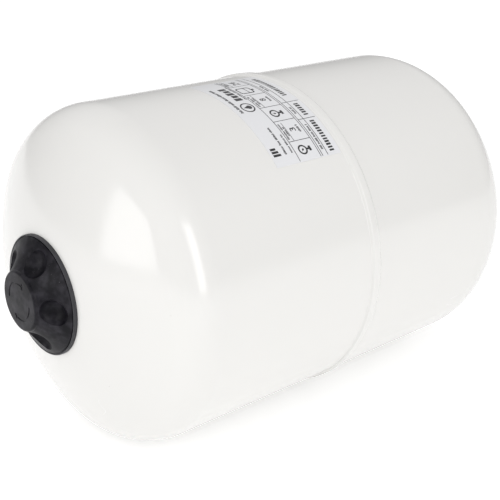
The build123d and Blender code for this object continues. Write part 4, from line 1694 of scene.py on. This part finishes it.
@dataclass
class Softbox:
    """A square lamp that faces the vessel."""

    name: str
    azimuth: float
    elevation: float
    width: float
    height: float
    distance: float
    radiance: float
    colour: tuple[float, float, float] = (1.0, 1.0, 1.0)

    def build(self, target: Vector) -> None:
        """Places the lamp, seen from a target at its azimuth from -Y towards +X and its elevation."""
        azimuth, elevation = math.radians(self.azimuth), math.radians(self.elevation)
        level = math.cos(elevation)
        way = Vector((math.sin(azimuth) * level, -math.cos(azimuth) * level, math.sin(elevation)))
        lamp = bpy.data.lights.new(self.name, "AREA")
        lamp.shape = "RECTANGLE"
        lamp.size, lamp.size_y = self.width, self.height
        lamp.energy = self.radiance * math.pi * self.width * self.height
        lamp.color = self.colour
        holder = bpy.data.objects.new(self.name, lamp)
        holder.location = target + way * self.distance
        holder.rotation_euler = way.to_track_quat("Z", "Y").to_euler()
        holder.visible_camera = False
        bpy.context.scene.collection.objects.link(holder)


@dataclass
class Studio:
    """The floor, the lamps and the camera."""

    shells: Shells
    floor_size: float = 30.0
    floor_colour: Colour = (0.9, 0.9, 0.9, 1.0)
    floor_glow: float = 0.34
    lens: float = 71.14
    lamp_target: float = 0.1057
    camera_offset: tuple[float, float, float] = (-0.3357, -0.6332, 0.3062)
    camera_azimuth: float = -41.1
    camera_elevation: float = 21.02
    sky: Colour = (1.0, 0.995, 1.0, 1.0)
    sky_low: float = 0.32
    sky_high: float = 1.0
    sky_full_at: float = 0.75
    softboxes: tuple[Softbox, ...] = (
        Softbox("end_softbox", -92.0, 14.0, 0.75, 0.7, 1.5, 3.0),
        Softbox("side_softbox", -5.0, 21.0, 0.37, 1.1, 1.5, 4.4),
    )

    def floor(self) -> None:
        """Adds the floor under the lowest point of the vessel."""
        deselect()
        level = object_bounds()[0][2]
        bpy.ops.mesh.primitive_plane_add(size=self.floor_size, location=(0.0, 0.0, level))
        ground = settle(bpy.context.object)
        ground.name = "studio_floor"
        ground.data.materials.append(Ground("studio_floor", self.floor_colour, self.floor_glow).material())
        ground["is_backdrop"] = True

    def camera(self) -> None:
        """Adds the camera, level and aimed by its azimuth and elevation."""
        view = bpy.data.cameras.new("camera")
        view.lens = self.lens
        view.sensor_width = 36.0
        holder = bpy.data.objects.new("camera", view)
        holder.location = Vector((self.shells.air.apex, 0.0, 0.0)) + Vector(self.camera_offset)
        tilt = math.radians(90.0 - self.camera_elevation)
        holder.rotation_euler = (tilt, 0.0, math.radians(self.camera_azimuth))
        bpy.context.scene.collection.objects.link(holder)
        bpy.context.scene.camera = holder

    def backdrop(self) -> None:
        """Surrounds the studio with light that is soft at the horizon and bright overhead."""
        world = bpy.data.worlds.new("studio")
        bpy.context.scene.world = world
        world.use_nodes = True
        nodes, links = world.node_tree.nodes, world.node_tree.links
        way = nodes.new("ShaderNodeTexCoord")
        parts = nodes.new("ShaderNodeSeparateXYZ")
        rise = nodes.new("ShaderNodeMapRange")
        rise.interpolation_type = "SMOOTHSTEP"
        rise.inputs["From Max"].default_value = self.sky_full_at
        rise.inputs["To Min"].default_value = self.sky_low
        rise.inputs["To Max"].default_value = self.sky_high
        links.new(way.outputs["Generated"], parts.inputs[0])
        links.new(parts.outputs["Z"], rise.inputs["Value"])
        links.new(rise.outputs[0], nodes["Background"].inputs["Strength"])
        nodes["Background"].inputs["Color"].default_value = self.sky

    def build(self) -> None:
        """Sets up the studio."""
        self.floor()
        self.camera()
        target = Vector((self.shells.air.apex + self.lamp_target, 0.0, 0.0))
        for softbox in self.softboxes:
            softbox.build(target)
        self.backdrop()
        bpy.context.scene.view_settings.view_transform = "Standard"


def main() -> None:
    """Builds the vessel's looks in order."""
    logging.basicConfig(level=logging.INFO, format="%(message)s")
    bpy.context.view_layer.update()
    finishes = Finishes()
    shells = Shells()
    shells.build(finishes)
    RatingLabel(shells).build(finishes)
    ScrewCap(shells).build(finishes)
    RimRing(shells).build(finishes)
    AirValve(shells).build(finishes)
    ConnectionEnd(shells).build(finishes)
    Bag().build(finishes)
    SmallNodes().build(finishes)
    Studio(shells).build()


if __name__ == "__main__":
    main()
